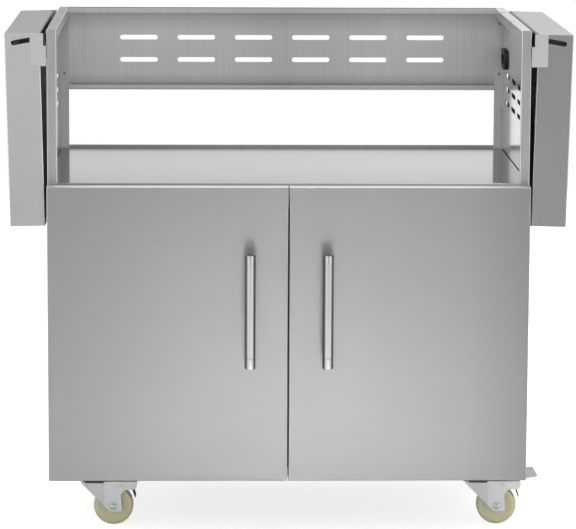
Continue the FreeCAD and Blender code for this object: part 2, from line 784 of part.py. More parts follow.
def handle_bar(name, side):
    """A round bar handle with a fine groove near each end and softly chamfered tips."""
    body = new_body(name + "_handle_bar", on_side(side, "BarInset"), "-DoorFace - BarReach",
                    "BarCentre")
    radius = "BarDiameter/2"
    neck = radius + " - GrooveDepth"
    tip = radius + " - BarChamfer"
    end = "BarLength/2"
    top = end + " - BarCap"
    Drawing(body, "XZ", "bar", "0").outline([
        ("0", "-(%s)" % end), (tip, "-(%s)" % end), (radius, "-(%s) + BarChamfer" % end),
        (radius, "-(%s) - BarGroove" % top), (neck, "-(%s) - BarGroove" % top),
        (neck, "-(%s)" % top), (radius, "-(%s)" % top),
        (radius, top), (neck, top), (neck, top + " + BarGroove"), (radius, top + " + BarGroove"),
        (radius, end + " - BarChamfer"), (tip, end), ("0", end),
    ]).revolve()
    return body


def handle_ends():
    """Heights of a handle's two standoffs."""
    return ["BarCentre + %d*(BarLength/2 - BarCap/2)" % end for end in (-1, 1)]


def handle_standoffs(name, side):
    """The two footed posts that hold a bar off its door, hollowed to the bar's round back."""
    posts = []
    for height in handle_ends():
        foot = FreeCAD.Vector(value(on_side(side, "BarInset")), value(FRONT + " - DoorFace"),
                              value(height))
        post = Part.makeCylinder(value("StandoffDiameter/2"), value("BarReach"), foot, FORWARD)
        collar = Part.makeCylinder(value("StandoffDiameter/2 + StandoffFoot"),
                                   value("StandoffFoot"), foot, FORWARD)
        bore = Part.makeCylinder(value("(HandleScrew + FitGap)/2"), value("HandleBore"), foot, FORWARD)
        bar_foot = foot + FORWARD * value("BarReach") - UP * value("BarCap")
        bar = Part.makeCylinder(value("BarDiameter/2"), value("2*BarCap"), bar_foot, UP)
        posts += post.fuse(collar).removeSplitter().cut(bar).cut(bore).Solids
    return group(name + "_handle_standoffs", posts)


def handle_screws(name, side):
    """The screws that hold a handle from inside the door."""
    spots = []
    for height in handle_ends():
        spots.append((on_side(side, "BarInset"), "-DoorFace + Sheet", height, FORWARD,
                      [("0", "HandleBore - 2*Sheet", "HandleScrew", "round"),
                       ("-HandleScrew/2", "HandleScrew/2", "1.6*HandleScrew", "hexagon")]))
    return fasteners(name + "_handle_screws", spots)


# Folding shelves


def slot_lower_end():
    """Distance out from a level shelf's inner edge, and below its top, of the slot's low end."""
    slant = math.radians(value("SlotSlant"))
    out = value("SlotUpperOut") - value("SlotRun") * math.sin(slant)
    drop = value("SlotUpperDrop") + value("SlotRun") * math.cos(slant)
    return out, drop


def shelf_placement(side):
    """Where a shelf's inner top corner lies when the shelf hangs folded on its studs."""
    turn = math.radians(90 + value("ShelfTilt"))
    along = (math.cos(turn), -math.sin(turn))
    inward = (-math.sin(turn), -math.cos(turn))
    out, drop = slot_lower_end()
    x = value(HALF + " + StudOut") - out * along[0] - drop * inward[0]
    z = value("StudHeight") - out * along[1] - drop * inward[1]
    corner = FreeCAD.Vector(side * x, value(FRONT), z)
    rotation = FreeCAD.Rotation(FreeCAD.Vector(0, 1, 0), side * (90 + value("ShelfTilt")))
    return FreeCAD.Placement(corner, rotation)


def fold_axis(side):
    """The single axis that turns the hanging shelf into its level, dropped place."""
    placement = shelf_placement(side)
    level = FreeCAD.Vector(side * value(HALF + " + StudOut - SlotUpperOut"), value(FRONT),
                           value("StudHeight + SlotUpperDrop"))
    turn = math.radians(90 + value("ShelfTilt"))
    middle = (placement.Base + level) * 0.5
    step = level - placement.Base
    square = FreeCAD.Vector(-side * step.z, 0, side * step.x)
    return middle + square * (0.5 / math.tan(turn / 2))


def shelf_body(label, side):
    """A sub-part drawn as the level shelf and set down folded at the cart's side."""
    body = doc.addObject("PartDesign::Body", label)
    body.Label = label
    body.Placement = shelf_placement(side)
    subparts.append(body)
    return body


def shelf_pan(name, side):
    """A folding shelf: one folded tray, open below, with a slanted stud slot at each end."""
    body = shelf_body(name + "_shelf_pan", side)
    end = on_side(side, "ShelfLength")
    block = Drawing(body, "XZ", "block", "0").box("0", end, "-ShelfHeight", "0").pad("CabinetDepth")
    deep = value("-ShelfHeight")
    nose = round_edges(block, "nose", "ShelfNose",
                       lambda at, run: near(at.x, 0) and near(at.z, deep) and near(abs(run.y), 1))
    round_edges(nose, "folds", "BendRadius", lambda at, run: near(at.z, 0) or near(abs(run.z), 1)
                or (near(at.z, deep) and near(abs(run.x), 1)))
    wall = on_side(side, "ShelfLength - Sheet")
    skin = on_side(side, "Sheet")
    corner = on_side(side, "ShelfNose")
    Drawing(body, "XZ", "hollow", "Sheet").outline([
        (skin, "-Sheet"), (wall, "-Sheet"), (wall, "-ShelfHeight + Sheet"),
        (corner, "-ShelfHeight + Sheet"), (skin, "-ShelfHeight + ShelfNose"),
    ]).cut("CabinetDepth - 2*Sheet")
    Drawing(body, "XY", "underside", "-ShelfHeight - Sheet").box(
        on_side(side, "ShelfHem"), on_side(side, "ShelfLength - ShelfHem"),
        "ShelfHem", "CabinetDepth - ShelfHem").cut("4*Sheet")
    slot = Drawing(body, "XZ", "stud_slots", "-Sheet")
    slot.slot((on_side(side, "SlotUpperOut"), "-SlotUpperDrop"),
              (on_side(side, "SlotUpperOut - SlotRun*sin(SlotSlant)"),
               "-SlotUpperDrop - SlotRun*cos(SlotSlant)"), "StudSlotWidth")
    slot.cut("CabinetDepth + 2*Sheet")
    return body


def shelf_stiffener(name, side):
    """A channel under the shelf's top that keeps it flat."""
    body = shelf_body(name + "_shelf_stiffener", side)
    centre = on_side(side, "ShelfLength/2")
    left = centre + " - StiffenerWidth/2"
    right = centre + " + StiffenerWidth/2"
    high = "-Sheet"
    low = "-Sheet - StiffenerHeight"
    Drawing(body, "XZ", "channel", "Sheet + FitGap").outline([
        (left, high), (left, low), (right, low), (right, high), (right + " - Sheet", high),
        (right + " - Sheet", low + " + Sheet"), (left + " + Sheet", low + " + Sheet"),
        (left + " + Sheet", high),
    ]).pad("CabinetDepth - 2*Sheet - 2*FitGap")
    return body


def shelf_bracket(name, side, end):
    """A stepped plate ahead of or behind the shelf's end that carries its stud."""
    body = new_body("%s_%s_shelf_bracket" % (end, name))
    out = on_side(side, HALF + " + BracketReach")
    inner = on_side(side, HALF + " + BracketSheet")
    wall = on_side(side, HALF)
    notch = on_side(side, HALF + " + BracketNotch")
    if end == "front":
        face = "-BracketGap - BracketSheet"
        tail = (face, "BracketTail")
        fold = (face, "-FitGap*2")
    else:
        face = "CabinetDepth + BracketGap"
        tail = ("CabinetDepth - BracketTail", face + " + BracketSheet")
        fold = ("CabinetDepth + FitGap*2", face + " + BracketSheet")
    Drawing(body, "XZ", "plate", face).outline([
        (wall, "BracketBottom"), (out, "BracketBottom"), (out, "BracketTop"), (notch, "BracketTop"),
        (notch, "BracketStep"), (wall, "BracketStep"),
    ]).pad("BracketSheet")
    Drawing(body, "YZ", "fold", wall if side > 0 else inner).box(
        fold[0], fold[1], "BracketBottom", "BracketStep").pad("BracketSheet")
    Drawing(body, "YZ", "web", wall if side > 0 else inner).box(
        tail[0], tail[1], "BracketBottom", "BracketBottom + BracketWeb").pad("BracketSheet")
    return body


def shelf_studs(name, side):
    """The two steel studs that a shelf's slots ride on, one on each bracket plate."""
    x = on_side(side, HALF + " + StudOut")
    length = "BracketGap - 2*FitGap"
    spots = [
        (x, "-BracketGap", "StudHeight", BACKWARD, [("0", length, "StudDiameter", "round")]),
        (x, "CabinetDepth + BracketGap", "StudHeight", FORWARD, [("0", length, "StudDiameter", "round")]),
    ]
    return fasteners(name + "_shelf_studs", spots)


# Grommet and hose ledges


def hose_grommet():
    """The black rubber grommet of the hose opening: two rims, a neck and a slit membrane."""
    body = new_body("hose_grommet")
    centre = "HoseCentre"
    inner_face = HALF + " - Sheet - HoseProud"
    rim = "HoseHeight/2 + HoseRim"
    first = "HoseStart + HoseHeight/2"
    last = "HoseStart + HoseLength - HoseHeight/2"
    Drawing(body, "YZ", "inner_rim", inner_face).slot(
        (first, centre), (last, centre), "HoseHeight + 2*HoseRim").pad("HoseProud")
    Drawing(body, "YZ", "neck", inner_face).slot(
        (first, centre), (last, centre), "HoseHeight").pad("HoseProud + Sheet + HoseBack")
    Drawing(body, "YZ", "outer_rim", HALF).slot(
        (first, centre), (last, centre), "HoseHeight + HoseRim").pad("HoseBack")
    Drawing(body, "YZ", "inner_recess", inner_face).slot(
        (first, centre), (last, centre), "HoseHeight - HoseRim").cut("HoseRecess")
    Drawing(body, "YZ", "slit", inner_face).slot(
        (first, centre), (last, centre), "MembraneSlit").cut("2*HoseProud")
    return body


def hose_angle(label, low):
    """A small steel angle on the right wall near the back, with its ledge at a height."""
    body = new_body(label)
    wall = HALF + " - Sheet"
    Drawing(body, "XZ", "angle", "LedgeStart").outline([
        (wall, low), (wall + " - LedgeProud", low), (wall + " - LedgeProud", low + " + Sheet"),
        (wall + " - Sheet", low + " + Sheet"), (wall + " - Sheet", low + " + LedgeLeg"),
        (wall, low + " + LedgeLeg"),
    ]).pad("LedgeLength")
    return body


# Casters


def caster_frame(side, row):
    """X and Y expressions of a caster's swivel axis."""
    y = "CasterBack" if row == "front" else "CabinetDepth - CasterBack"
    return on_side(side, HALF + " - CasterInset"), y


def caster_plate(name, side, row):
    """The fixed top plate with its pressed ball race."""
    x, y = caster_frame(side, row)
    body = new_body("%s_%s_caster_plate" % (row, name), x, y)
    top = "BaseHeight"
    Drawing(body, "XY", "plate", top + " - PlateSheet").box(
        "-PlateLength/2", "PlateLength/2", "-PlateWidth/2", "PlateWidth/2").pad("PlateSheet")
    low = top + " - PlateSheet - RaceDrop"
    Drawing(body, "XZ", "race", "0").outline([
        ("0", low), ("RaceDiameter/2 - RaceEdge", low), ("RaceDiameter/2", low + " + RaceEdge"),
        ("RaceDiameter/2", top + " - PlateSheet"), ("0", top + " - PlateSheet"),
    ]).revolve()
    holes = Drawing(body, "XY", "bolt_holes", top + " - PlateSheet - Sheet")
    for spot in bolt_spots():
        holes.circle(spot[0], spot[1], "BoltDiameter + FitGap")
    holes.cut("PlateSheet + 2*Sheet")
    Drawing(body, "XY", "kingpin_hole", low + " - Sheet").circle(
        "0", "0", "KingpinDiameter").cut("RaceDrop/2 + Sheet")
    return body


def fork_cheek(body, label, at):
    """One cheek of a fork: a slanted leg down to the axle, and the arm over the wheel."""
    top = "CrownTop"
    arm = "WheelDiameter/2 + ArmRise"
    foot = "WheelDiameter/2 - FootDrop"
    back = "-CrownDiameter/2 + CrownSheet"
    front = "Trail + CheekFoot"
    cheek = Drawing(body, "XZ", label, at).outline([
        (back, top), (back, top + " - CheekLip"), ("Trail - CheekFoot/2", foot),
        (front + " + CheekFlare", foot), (front, arm), ("ForkReach", arm), ("ForkReach", top),
    ]).pad("ForkSheet")
    throat = (value(front), value(arm))
    reach = value("ForkReach")
    sheet_at = value("%s + ForkSheet/2" % at)
    curved = round_edges(cheek, label + "_throat", "CheekThroat", lambda at, run: near(
        at.x, throat[0]) and near(at.z, throat[1]) and near(at.y, sheet_at))
    arms = round_edges(curved, label + "_arm_corners", "ArmCorner", lambda at, run: near(
        at.x, reach) and near(at.y, sheet_at) and near(abs(run.y), 1))
    level = value(foot)
    round_edges(arms, label + "_foot_corners", "FootCorner", lambda at, run: near(
        at.z, level) and near(at.y, sheet_at) and near(abs(run.y), 1))


def caster_fork(name, side, row):
    """The swivelling fork: a crown under the race, two cheeks and the kingpin."""
    x, y = caster_frame(side, row)
    body = new_body("%s_%s_caster_fork" % (row, name), x, y)
    race = "BaseHeight - PlateSheet - RaceDrop - FitGap"
    pin = "KingpinDiameter/2 - PinFit"
    under = "CrownTop - CrownSheet"
    Drawing(body, "XZ", "crown", "0").outline([
        ("0", under), ("CrownDiameter/2", under), ("CrownDiameter/2", "CrownTop"),
        ("RaceDiameter/2", "CrownTop"), ("RaceDiameter/2 - RaceEdge", race),
        (pin, race), (pin, race + " + RaceDrop/2"), ("0", race + " + RaceDrop/2"),
    ]).revolve()
    Drawing(body, "XY", "bridge", under).box(
        "-CrownDiameter/2 + CrownSheet", "CrownDiameter/2", "-ForkGap/2", "ForkGap/2").pad("CrownSheet")
    fork_cheek(body, "near_cheek", "-ForkGap/2 - ForkSheet")
    fork_cheek(body, "far_cheek", "ForkGap/2")
    Drawing(body, "XZ", "axle_holes", "-ForkGap").circle(
        "Trail", "WheelDiameter/2", "AxleDiameter").cut("2*ForkGap")
    if row == "front":
        half = "(ForkGap/2 + ForkSheet + RivetHead)"
        Drawing(body, "XZ", "rivet", "-" + half).circle(
            "RivetOut", "RivetHeight", "RivetDiameter").pad("2*" + half)
    return body


def caster_axle(name, side, row):
    """The axle bolt with its head and nut outside the fork."""
    x, y = caster_frame(side, row)
    body = new_body("%s_%s_caster_axle" % (row, name), x + " + Trail", y, "WheelDiameter/2")
    half = "(ForkGap/2 + ForkSheet)"
    Drawing(body, "XZ", "shank", "-" + half).circle("0", "0", "AxleDiameter").pad("2*" + half)
    Drawing(body, "XZ", "head", "-%s - HeadHeight" % half).outline(hexagon("NutAcross")).pad("HeadHeight")
    Drawing(body, "XZ", "nut", half).outline(hexagon("NutAcross")).pad("NutHeight")
    return body


def hexagon(across):
    """Corners of a hexagon by its width across flats."""
    corners = []
    for step in range(6):
        angle = 60 * step
        corners.append(("%s/sqrt(3)*cos(%d)" % (across, angle), "%s/sqrt(3)*sin(%d)" % (across, angle)))
    return corners


def tread_corner():
    """Distances in from the wheel's face and rim of the points round its rounded edge."""
    points = []
    for angle in (0, 30, 60, 90):
        points.append(("WheelRound*(1 - cos(%d))" % angle, "WheelRound*(1 - sin(%d))" % angle))
    return points


def caster_wheel(name, side, row):
    """A moulded nylon wheel: a rounded tread, recessed faces and a raised hub."""
    x, y = caster_frame(side, row)
    body = new_body("%s_%s_caster_wheel" % (row, name), x + " + Trail", y, "WheelDiameter/2")
    rim = "WheelDiameter/2"
    bore = "AxleDiameter/2 + PinFit"
    half = "WheelWidth/2"
    hub = half + " + HubProud"
    recess = half + " - WheelRecess"
    inside = [(hub, bore), (hub, "HubDiameter/2"), (recess, "HubDiameter/2"),
              (recess, rim + " - RimDepth"), (half, rim + " - RimDepth")]
    outside = [("%s - %s" % (half, inward), "%s - %s" % (rim, down)) for inward, down in tread_corner()]
    far_half = inside + outside
    near_half = [("-(%s)" % along, out) for along, out in reversed(far_half)]
    Drawing(body, "YZ", "wheel", "0").outline(far_half + near_half).revolve("H_Axis")
    return body


def brake_pedal(name, side):
    """The foot pedal of a front caster: two ears on the rivet, a brake blade and a tread pad."""
    x, y = caster_frame(side, "front")
    body = new_body("front_%s_brake_pedal" % name, x + " + RivetOut", y, "RivetHeight")
    inside = "(ForkGap/2 - PedalPlay)"
    eye = "PedalEye/2"
    pad_top = "PadLow + PadThick"
    for label, at in (("near_ear", "-" + inside), ("far_ear", inside + " - PedalSheet")):
        Drawing(body, "XZ", label + "_eye", at).circle("0", "0", "PedalEye").pad("PedalSheet")
        Drawing(body, "XZ", label, at).outline([
            ("0", "-" + eye), ("PedalElbow", "-PedalDip"), ("PadStart", "PadLow"),
            ("PadStart", pad_top), ("0", eye),
        ]).pad("PedalSheet")
    Drawing(body, "XZ", "web", "-" + inside).outline([
        (eye, eye + " - PedalSheet"), ("PadStart", pad_top + " - PedalSheet"),
        ("PadStart", pad_top), (eye, eye),
    ]).pad("2*" + inside)
    Drawing(body, "XZ", "blade", "-" + inside).outline([
        ("PedalElbow - PedalSheet", "-PedalDip/2"), ("BladeReach", "-BladeDrop"),
        ("BladeReach + PedalSheet", "-BladeDrop"), ("PedalElbow", "-PedalDip/2"),
    ]).pad("2*" + inside)
    Drawing(body, "XZ", "pad", "-PedalWidth/2").outline([
        ("PadStart", "PadLow"), ("PedalReach - PadLean/2", "PadLow + PadThick"),
        ("PedalReach", "PadTip"), ("PedalReach - PadLean", "PadRise"),
        ("PadStart + PadLean", "PadRise - PadLean/3"), ("PadStart", pad_top),
    ]).pad("PedalWidth")
    Drawing(body, "XZ", "rivet_hole", "-PedalWidth").circle(
        "0", "0", "RivetDiameter + 2*PinFit").cut("2*PedalWidth")
    return body


def caster_bolts():
    """The sixteen bolts that hold the caster plates under the rails."""
    spots = []
    for name, side in SIDES:
        for row in ("front", "rear"):
            x, y = caster_frame(side, row)
            for across, along in bolt_spots():
                spots.append(("%s + %s" % (x, across), "%s + %s" % (y, along),
                              "BaseHeight - PlateSheet", UP,
                              [("-HeadHeight", "HeadHeight", "NutAcross", "hexagon"),
                               ("0", "PlateSheet + RailSheet", "BoltDiameter", "round"),
                               ("PlateSheet + RailSheet", "HeadHeight", "NutAcross", "hexagon")]))
    return fasteners("caster_bolts", spots)


def back_screws():
    """Screws that hold both back panels to the rear posts."""
    spots = []
    for name, side in SIDES:
        for height in UPPER_SCREWS + LOWER_SCREWS:
            spots.append((on_side(side, HALF + " - PostWidth/2"), "CabinetDepth + Sheet", height,
                          FORWARD, [("-NutDepth", "NutDepth", "1.8*StudShank", "hexagon"),
                                    ("0", "4*Sheet", "StudShank", "round")]))
    return fasteners("back_panel_screws", spots)


def build():
    """Make every sub-part of the cart."""
    for name, side in SIDES:
        side_panel(name, side)
        caster_rail(name, side)
        for level in ("lower", "upper"):
            hinge_bracket(name, side, level)
        magnet_catch(name, side)
        door_skin(name, side)
        door_liner(name, side)
        door_bushes(name, side)
        handle_bar(name, side)
        handle_standoffs(name, side)
        handle_screws(name, side)
        shelf_pan(name, side)
        shelf_stiffener(name, side)
        for end in ("front", "rear"):
            shelf_bracket(name, side, end)
            caster_plate(name, side, end)
            caster_fork(name, side, end)
            caster_axle(name, side, end)
            caster_wheel(name, side, end)
        shelf_studs(name, side)
        brake_pedal(name, side)
    upper_back_panel()
    lower_back_panel()
    deck()
    tray("floor", "FloorHeight", "SkirtDepth")
    hose_grommet()
    hose_angle("hose_hood", "HoodHeight")
    hose_angle("hose_ledge", "LedgeHeight")
    hinge_studs()
    caster_bolts()
    back_screws()


def check():
    """Stop if anything failed to build or a cut removed nothing."""
    doc.recompute()
    for item in doc.Objects:
        if "Invalid" in item.State or "Error" in item.State:
            raise RuntimeError("%s failed: %s" % (item.Label, item.State))
    for item in subparts:
        if item.Shape.isNull() or not item.Shape.isValid():
            raise RuntimeError("%s has no valid shape" % item.Label)
        if item.TypeId == "PartDesign::Body" and len(item.Shape.Solids) != 1:
            raise RuntimeError("%s is not in one piece" % item.Label)
    for item in cuts:
        before = item.BaseFeature.Shape.Volume
        if item.Shape.Volume > before - 0.01:
            body = item.getParentGeoFeatureGroup()
            raise RuntimeError("%s in %s cuts nothing" % (item.Label, body.Label))


def write():
    """Write each sub-part to its own file."""
    os.makedirs("parts", exist_ok=True)
    for item in subparts:
        item.Shape.exportStep("parts/%s.step" % item.Label)
    print("%d sub-parts" % len(subparts))
    for name, side in SIDES:
        axis = fold_axis(side)
        print("%s shelf folds about x %.3f z %.3f" % (name, axis.x, axis.z))


build()
check()
write()
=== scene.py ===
"""Looks of a stainless steel grill cart: its finishes, moulded and turned pieces, and studio."""

import json
import logging
import math
from dataclasses import dataclass
from enum import Enum

import bmesh
import bpy
from mathutils import Euler, Matrix, Vector

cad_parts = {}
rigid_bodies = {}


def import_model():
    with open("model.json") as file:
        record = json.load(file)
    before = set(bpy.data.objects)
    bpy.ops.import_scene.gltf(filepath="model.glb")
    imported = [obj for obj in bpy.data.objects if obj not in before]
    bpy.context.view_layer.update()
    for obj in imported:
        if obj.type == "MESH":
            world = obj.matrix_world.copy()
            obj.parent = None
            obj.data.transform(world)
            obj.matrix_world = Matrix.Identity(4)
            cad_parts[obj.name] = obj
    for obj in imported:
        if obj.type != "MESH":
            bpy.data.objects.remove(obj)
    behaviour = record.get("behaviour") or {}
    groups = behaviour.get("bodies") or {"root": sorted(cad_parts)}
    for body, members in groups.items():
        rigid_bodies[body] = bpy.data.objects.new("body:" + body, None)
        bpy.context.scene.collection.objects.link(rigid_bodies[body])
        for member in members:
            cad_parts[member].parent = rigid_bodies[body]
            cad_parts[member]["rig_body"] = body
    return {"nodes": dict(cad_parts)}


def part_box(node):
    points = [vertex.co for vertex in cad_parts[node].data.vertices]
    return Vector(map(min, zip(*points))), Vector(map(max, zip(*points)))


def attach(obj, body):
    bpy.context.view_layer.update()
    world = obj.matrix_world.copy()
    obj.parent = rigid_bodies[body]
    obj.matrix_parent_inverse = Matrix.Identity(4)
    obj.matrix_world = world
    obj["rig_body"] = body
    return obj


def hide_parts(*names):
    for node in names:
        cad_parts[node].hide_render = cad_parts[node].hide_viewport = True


LOG = logging.getLogger("grill_cart")

MM = 0.001
MERGE = 1e-6
PHOTO_WIDTH_PX = 576
SIDES = ("left", "right")
ROWS = ("front", "rear")
NOISE_LOW, NOISE_HIGH = 0.3, 0.7
BUMP_STRENGTH = 0.4
WHITE = (1.0, 1.0, 1.0, 1.0)

Way = tuple[float, float, float]
Colour = tuple[float, float, float, float]


def linear(code: str) -> Colour:
    """Turn an sRGB hex colour into linear light.

    Args:
        code: a colour such as "#c0c0be".

    Returns:
        Red, green, blue and full alpha, each from 0 to 1.
    """
    channels = []
    for start in (1, 3, 5):
        share = int(code[start:start + 2], 16) / 255
        channels.append(share / 12.92 if share <= 0.04045 else ((share + 0.055) / 1.055) ** 2.4)
    return (*channels, 1.0)


def grey(level: float) -> Colour:
    """A grey of that linear level."""
    return (level, level, level, 1.0)


def add_node(tree: bpy.types.NodeTree, kind: str, settings: dict | None = None,
             links: dict | None = None) -> bpy.types.Node:
    """Add a shader node with its settings and links.

    Args:
        tree: the node tree to add to.
        kind: the node's type name.
        settings: values by socket name or attribute name.
        links: source sockets by the name of the input they feed.

    Returns:
        The new node.
    """
    node = tree.nodes.new(kind)
    for name, setting in (settings or {}).items():
        if isinstance(name, str) and hasattr(node, name):
            setattr(node, name, setting)
        else:
            node.inputs[name].default_value = setting
    for name, source in (links or {}).items():
        tree.links.new(source, node.inputs[name])
    return node


def set_stops(ramp: bpy.types.ColorRamp, stops: list[tuple[float, Colour]]) -> None:
    """Give a colour ramp its stops.

    Args:
        ramp: the ramp, with two stops or more to fill.
        stops: places from 0 to 1 in rising order, each with its colour.
    """
    while len(ramp.elements) < len(stops):
        ramp.elements.new(1.0)
    for stop, (place, colour) in zip(ramp.elements, stops):
        stop.position = place
        stop.color = colour


class Grain(Enum):
    """Which way the polishing belt ran, as how fast the pattern changes along X, Y and Z."""

    ACROSS = (0.012, 1.0, 1.0)
    LEVEL = (0.012, 0.012, 1.0)
    UPRIGHT = (1.0, 1.0, 0.012)
    NONE = (1.0, 1.0, 1.0)


class Smear(Enum):
    """The direction in which a ground sheet draws out reflections.

    It is square to the sheet's lines, except on the side panels. Each leans a little, so that no
    flat face lies exactly square to it.
    """

    UPRIGHT = (0.0, 0.05, 0.99875)
    ACROSS = (0.99875, 0.05, 0.0)
    DEEP = (0.0, 0.99875, 0.05)
    FOLDED = (0.0, 0.7071, 0.7071)


@dataclass(frozen=True)
class Facing:
    """Painted light or shade on the faces of a folded sheet that look one way, beyond a place along
    an axis.

    The colour is multiplied by the shade and the roughness is added. The change sets in where the
    face looks that way by the start share, and is complete at the full share.
    """

    way: Way
    shade: float
    roughness: float = 0.0
    start: float = 0.6
    full: float = 0.85
    axis: str = "Z"
    above_mm: float = -1000.0


@dataclass(frozen=True)
class Shade:
    """Painted shade: darkest at one place along an axis, and gone at another.

    Past its darkest place it has no effect: it sets in over the onset, a share of the way between
    the two places. A mirrored one is the same on both sides of the middle.
    """

    axis: str
    full_mm: float
    none_mm: float
    shade: float
    mirrored: bool = False
    onset: float = 0.004


@dataclass(frozen=True)
class Finish:
    """A surface: its material's name, colours, how rough and patterned it is, and its painted light
    and shade.
    """

    name: str
    dark: str
    light: str
    metallic: float
    roughness: tuple[float, float]
    grain: Grain
    pitch_mm: float
    relief_mm: float
    cloud_mm: float = 260.0
    cloudiness: float = 0.35
    ior: float = 1.5
    grazing: float = 1.0
    anisotropy: float = 0.0
    smear: Smear = Smear.UPRIGHT
    facings: tuple[Facing, ...] = ()
    shades: tuple[Shade, ...] = ()

    def material(self) -> bpy.types.Material:
        """The finish as a material, made once.

        Returns:
            The material, new or found by its name.
        """
        found = bpy.data.materials.get(self.name)
        if found:
            return found
        material = bpy.data.materials.new(self.name)
        material.use_nodes = True
        tree = material.node_tree
        shader = tree.nodes["Principled BSDF"]
        shader.inputs["Metallic"].default_value = self.metallic
        if self.metallic < 1:
            shader.inputs["IOR"].default_value = self.ior
        else:
            shader.inputs["Specular Tint"].default_value = grey(self.grazing)
        place = add_node(tree, "ShaderNodeTexCoord")
        scale = tuple(along / (self.pitch_mm * MM) for along in self.grain.value)
        lines = add_node(tree, "ShaderNodeMapping", {"Scale": scale},
                         {"Vector": place.outputs["Object"]})
        ground = add_node(tree, "ShaderNodeTexNoise",
                          {"Scale": 1.0, "Detail": 3.0, "Roughness": 0.65},
                          {"Vector": lines.outputs["Vector"]})
        cloud = add_node(tree, "ShaderNodeTexNoise",
                         {"Scale": 1 / (self.cloud_mm * MM), "Detail": 2.0, "Roughness": 0.5},
                         {"Vector": place.outputs["Object"]})
        blend = add_node(tree, "ShaderNodeMix", {"data_type": "FLOAT", "Factor": self.cloudiness},
                         {2: ground.outputs["Fac"], 3: cloud.outputs["Fac"]})
        tint = add_node(tree, "ShaderNodeValToRGB", links={"Fac": blend.outputs[0]})
        set_stops(tint.color_ramp,
                  [(NOISE_LOW, linear(self.dark)), (NOISE_HIGH, linear(self.light))])
        smooth, rough = self.roughness
        wear = add_node(tree, "ShaderNodeMapRange",
                        {"From Min": NOISE_LOW, "From Max": NOISE_HIGH,
                         "To Min": smooth, "To Max": rough},
                        {"Value": ground.outputs["Fac"]})
        bump = add_node(tree, "ShaderNodeBump",
                        {"Strength": BUMP_STRENGTH, "Distance": self.relief_mm * MM},
                        {"Height": ground.outputs["Fac"]})
        colour, roughness = tint.outputs["Color"], wear.outputs["Result"]
        # Painted light and shade on the faces that look one way.
        for facing in self.facings:
            colour, roughness = self.turn(tree, place, facing, colour, roughness)
        # Painted shade along an axis.
        for corner in self.shades:
            colour = self.darken(tree, place, corner, colour)
        tree.links.new(colour, shader.inputs["Base Color"])
        tree.links.new(roughness, shader.inputs["Roughness"])
        tree.links.new(bump.outputs["Normal"], shader.inputs["Normal"])
        if self.anisotropy:
            shader.inputs["Anisotropic"].default_value = self.anisotropy
            along = add_node(tree, "ShaderNodeVectorTransform",
                             {"vector_type": "VECTOR", "convert_from": "OBJECT",
                              "convert_to": "WORLD", "Vector": self.smear.value})
            tree.links.new(along.outputs["Vector"], shader.inputs["Tangent"])
        return material

    def turn(self, tree: bpy.types.NodeTree, place: bpy.types.Node, facing: Facing,
             colour: bpy.types.NodeSocket, roughness: bpy.types.NodeSocket
             ) -> tuple[bpy.types.NodeSocket, bpy.types.NodeSocket]:
        """Paint light or shade into the colour, and change the roughness, on the faces that look
        one way.

        Args:
            tree: the material's node tree.
            place: its Texture Coordinate node.
            facing: which faces, and how they differ.
            colour: the colour so far.
            roughness: the roughness so far.

        Returns:
            The new colour and roughness sockets.
        """
        share = add_node(tree, "ShaderNodeVectorMath", {"operation": "DOT_PRODUCT", 1: facing.way},
                         {0: place.outputs["Normal"]})
        turned = add_node(tree, "ShaderNodeMapRange",
                          {"From Min": facing.start, "From Max": facing.full},
                          {"Value": share.outputs["Value"]})
        apart = add_node(tree, "ShaderNodeSeparateXYZ", links={"Vector": place.outputs["Object"]})
        high = add_node(tree, "ShaderNodeMath",
                        {"operation": "GREATER_THAN", 1: facing.above_mm * MM},
                        {0: apart.outputs[facing.axis]})
        chosen = add_node(tree, "ShaderNodeMath", {"operation": "MULTIPLY"},
                          {0: turned.outputs["Result"], 1: high.outputs["Value"]})
        shade = add_node(tree, "ShaderNodeMapRange", {"To Min": 1.0, "To Max": facing.shade},
                         {"Value": chosen.outputs["Value"]})
        toned = add_node(tree, "ShaderNodeVectorMath", {"operation": "SCALE"},
                         {0: colour, "Scale": shade.outputs["Result"]})
        rougher = add_node(tree, "ShaderNodeMath",
                           {"operation": "MULTIPLY_ADD", 1: facing.roughness},
                           {0: chosen.outputs["Value"], 2: roughness})
        return toned.outputs["Vector"], rougher.outputs["Value"]

    def darken(self, tree: bpy.types.NodeTree, place: bpy.types.Node, corner: Shade,
               colour: bpy.types.NodeSocket) -> bpy.types.NodeSocket:
        """Paint shade into the colour towards one place along an axis.

        Args:
            tree: the material's node tree.
            place: its Texture Coordinate node.
            corner: where the painted shade lies, and how dark.
            colour: the colour so far.

        Returns:
            The new colour socket.
        """
        apart = add_node(tree, "ShaderNodeSeparateXYZ", links={"Vector": place.outputs["Object"]})
        along = apart.outputs[corner.axis]
        if corner.mirrored:
            along = add_node(tree, "ShaderNodeMath", {"operation": "ABSOLUTE"},
                             {0: along}).outputs["Value"]
        away = add_node(tree, "ShaderNodeMapRange",
                        {"From Min": corner.full_mm * MM, "From Max": corner.none_mm * MM},
                        {"Value": along})
        fade = add_node(tree, "ShaderNodeValToRGB", links={"Fac": away.outputs["Result"]})
        set_stops(fade.color_ramp, [(0.0, WHITE), (corner.onset, grey(corner.shade)), (1.0, WHITE)])
        toned = add_node(tree, "ShaderNodeMix",
                         {"data_type": "RGBA", "blend_type": "MULTIPLY", "Factor": 1.0},
                         {6: colour, 7: fade.outputs["Color"]})
        return toned.outputs[2]


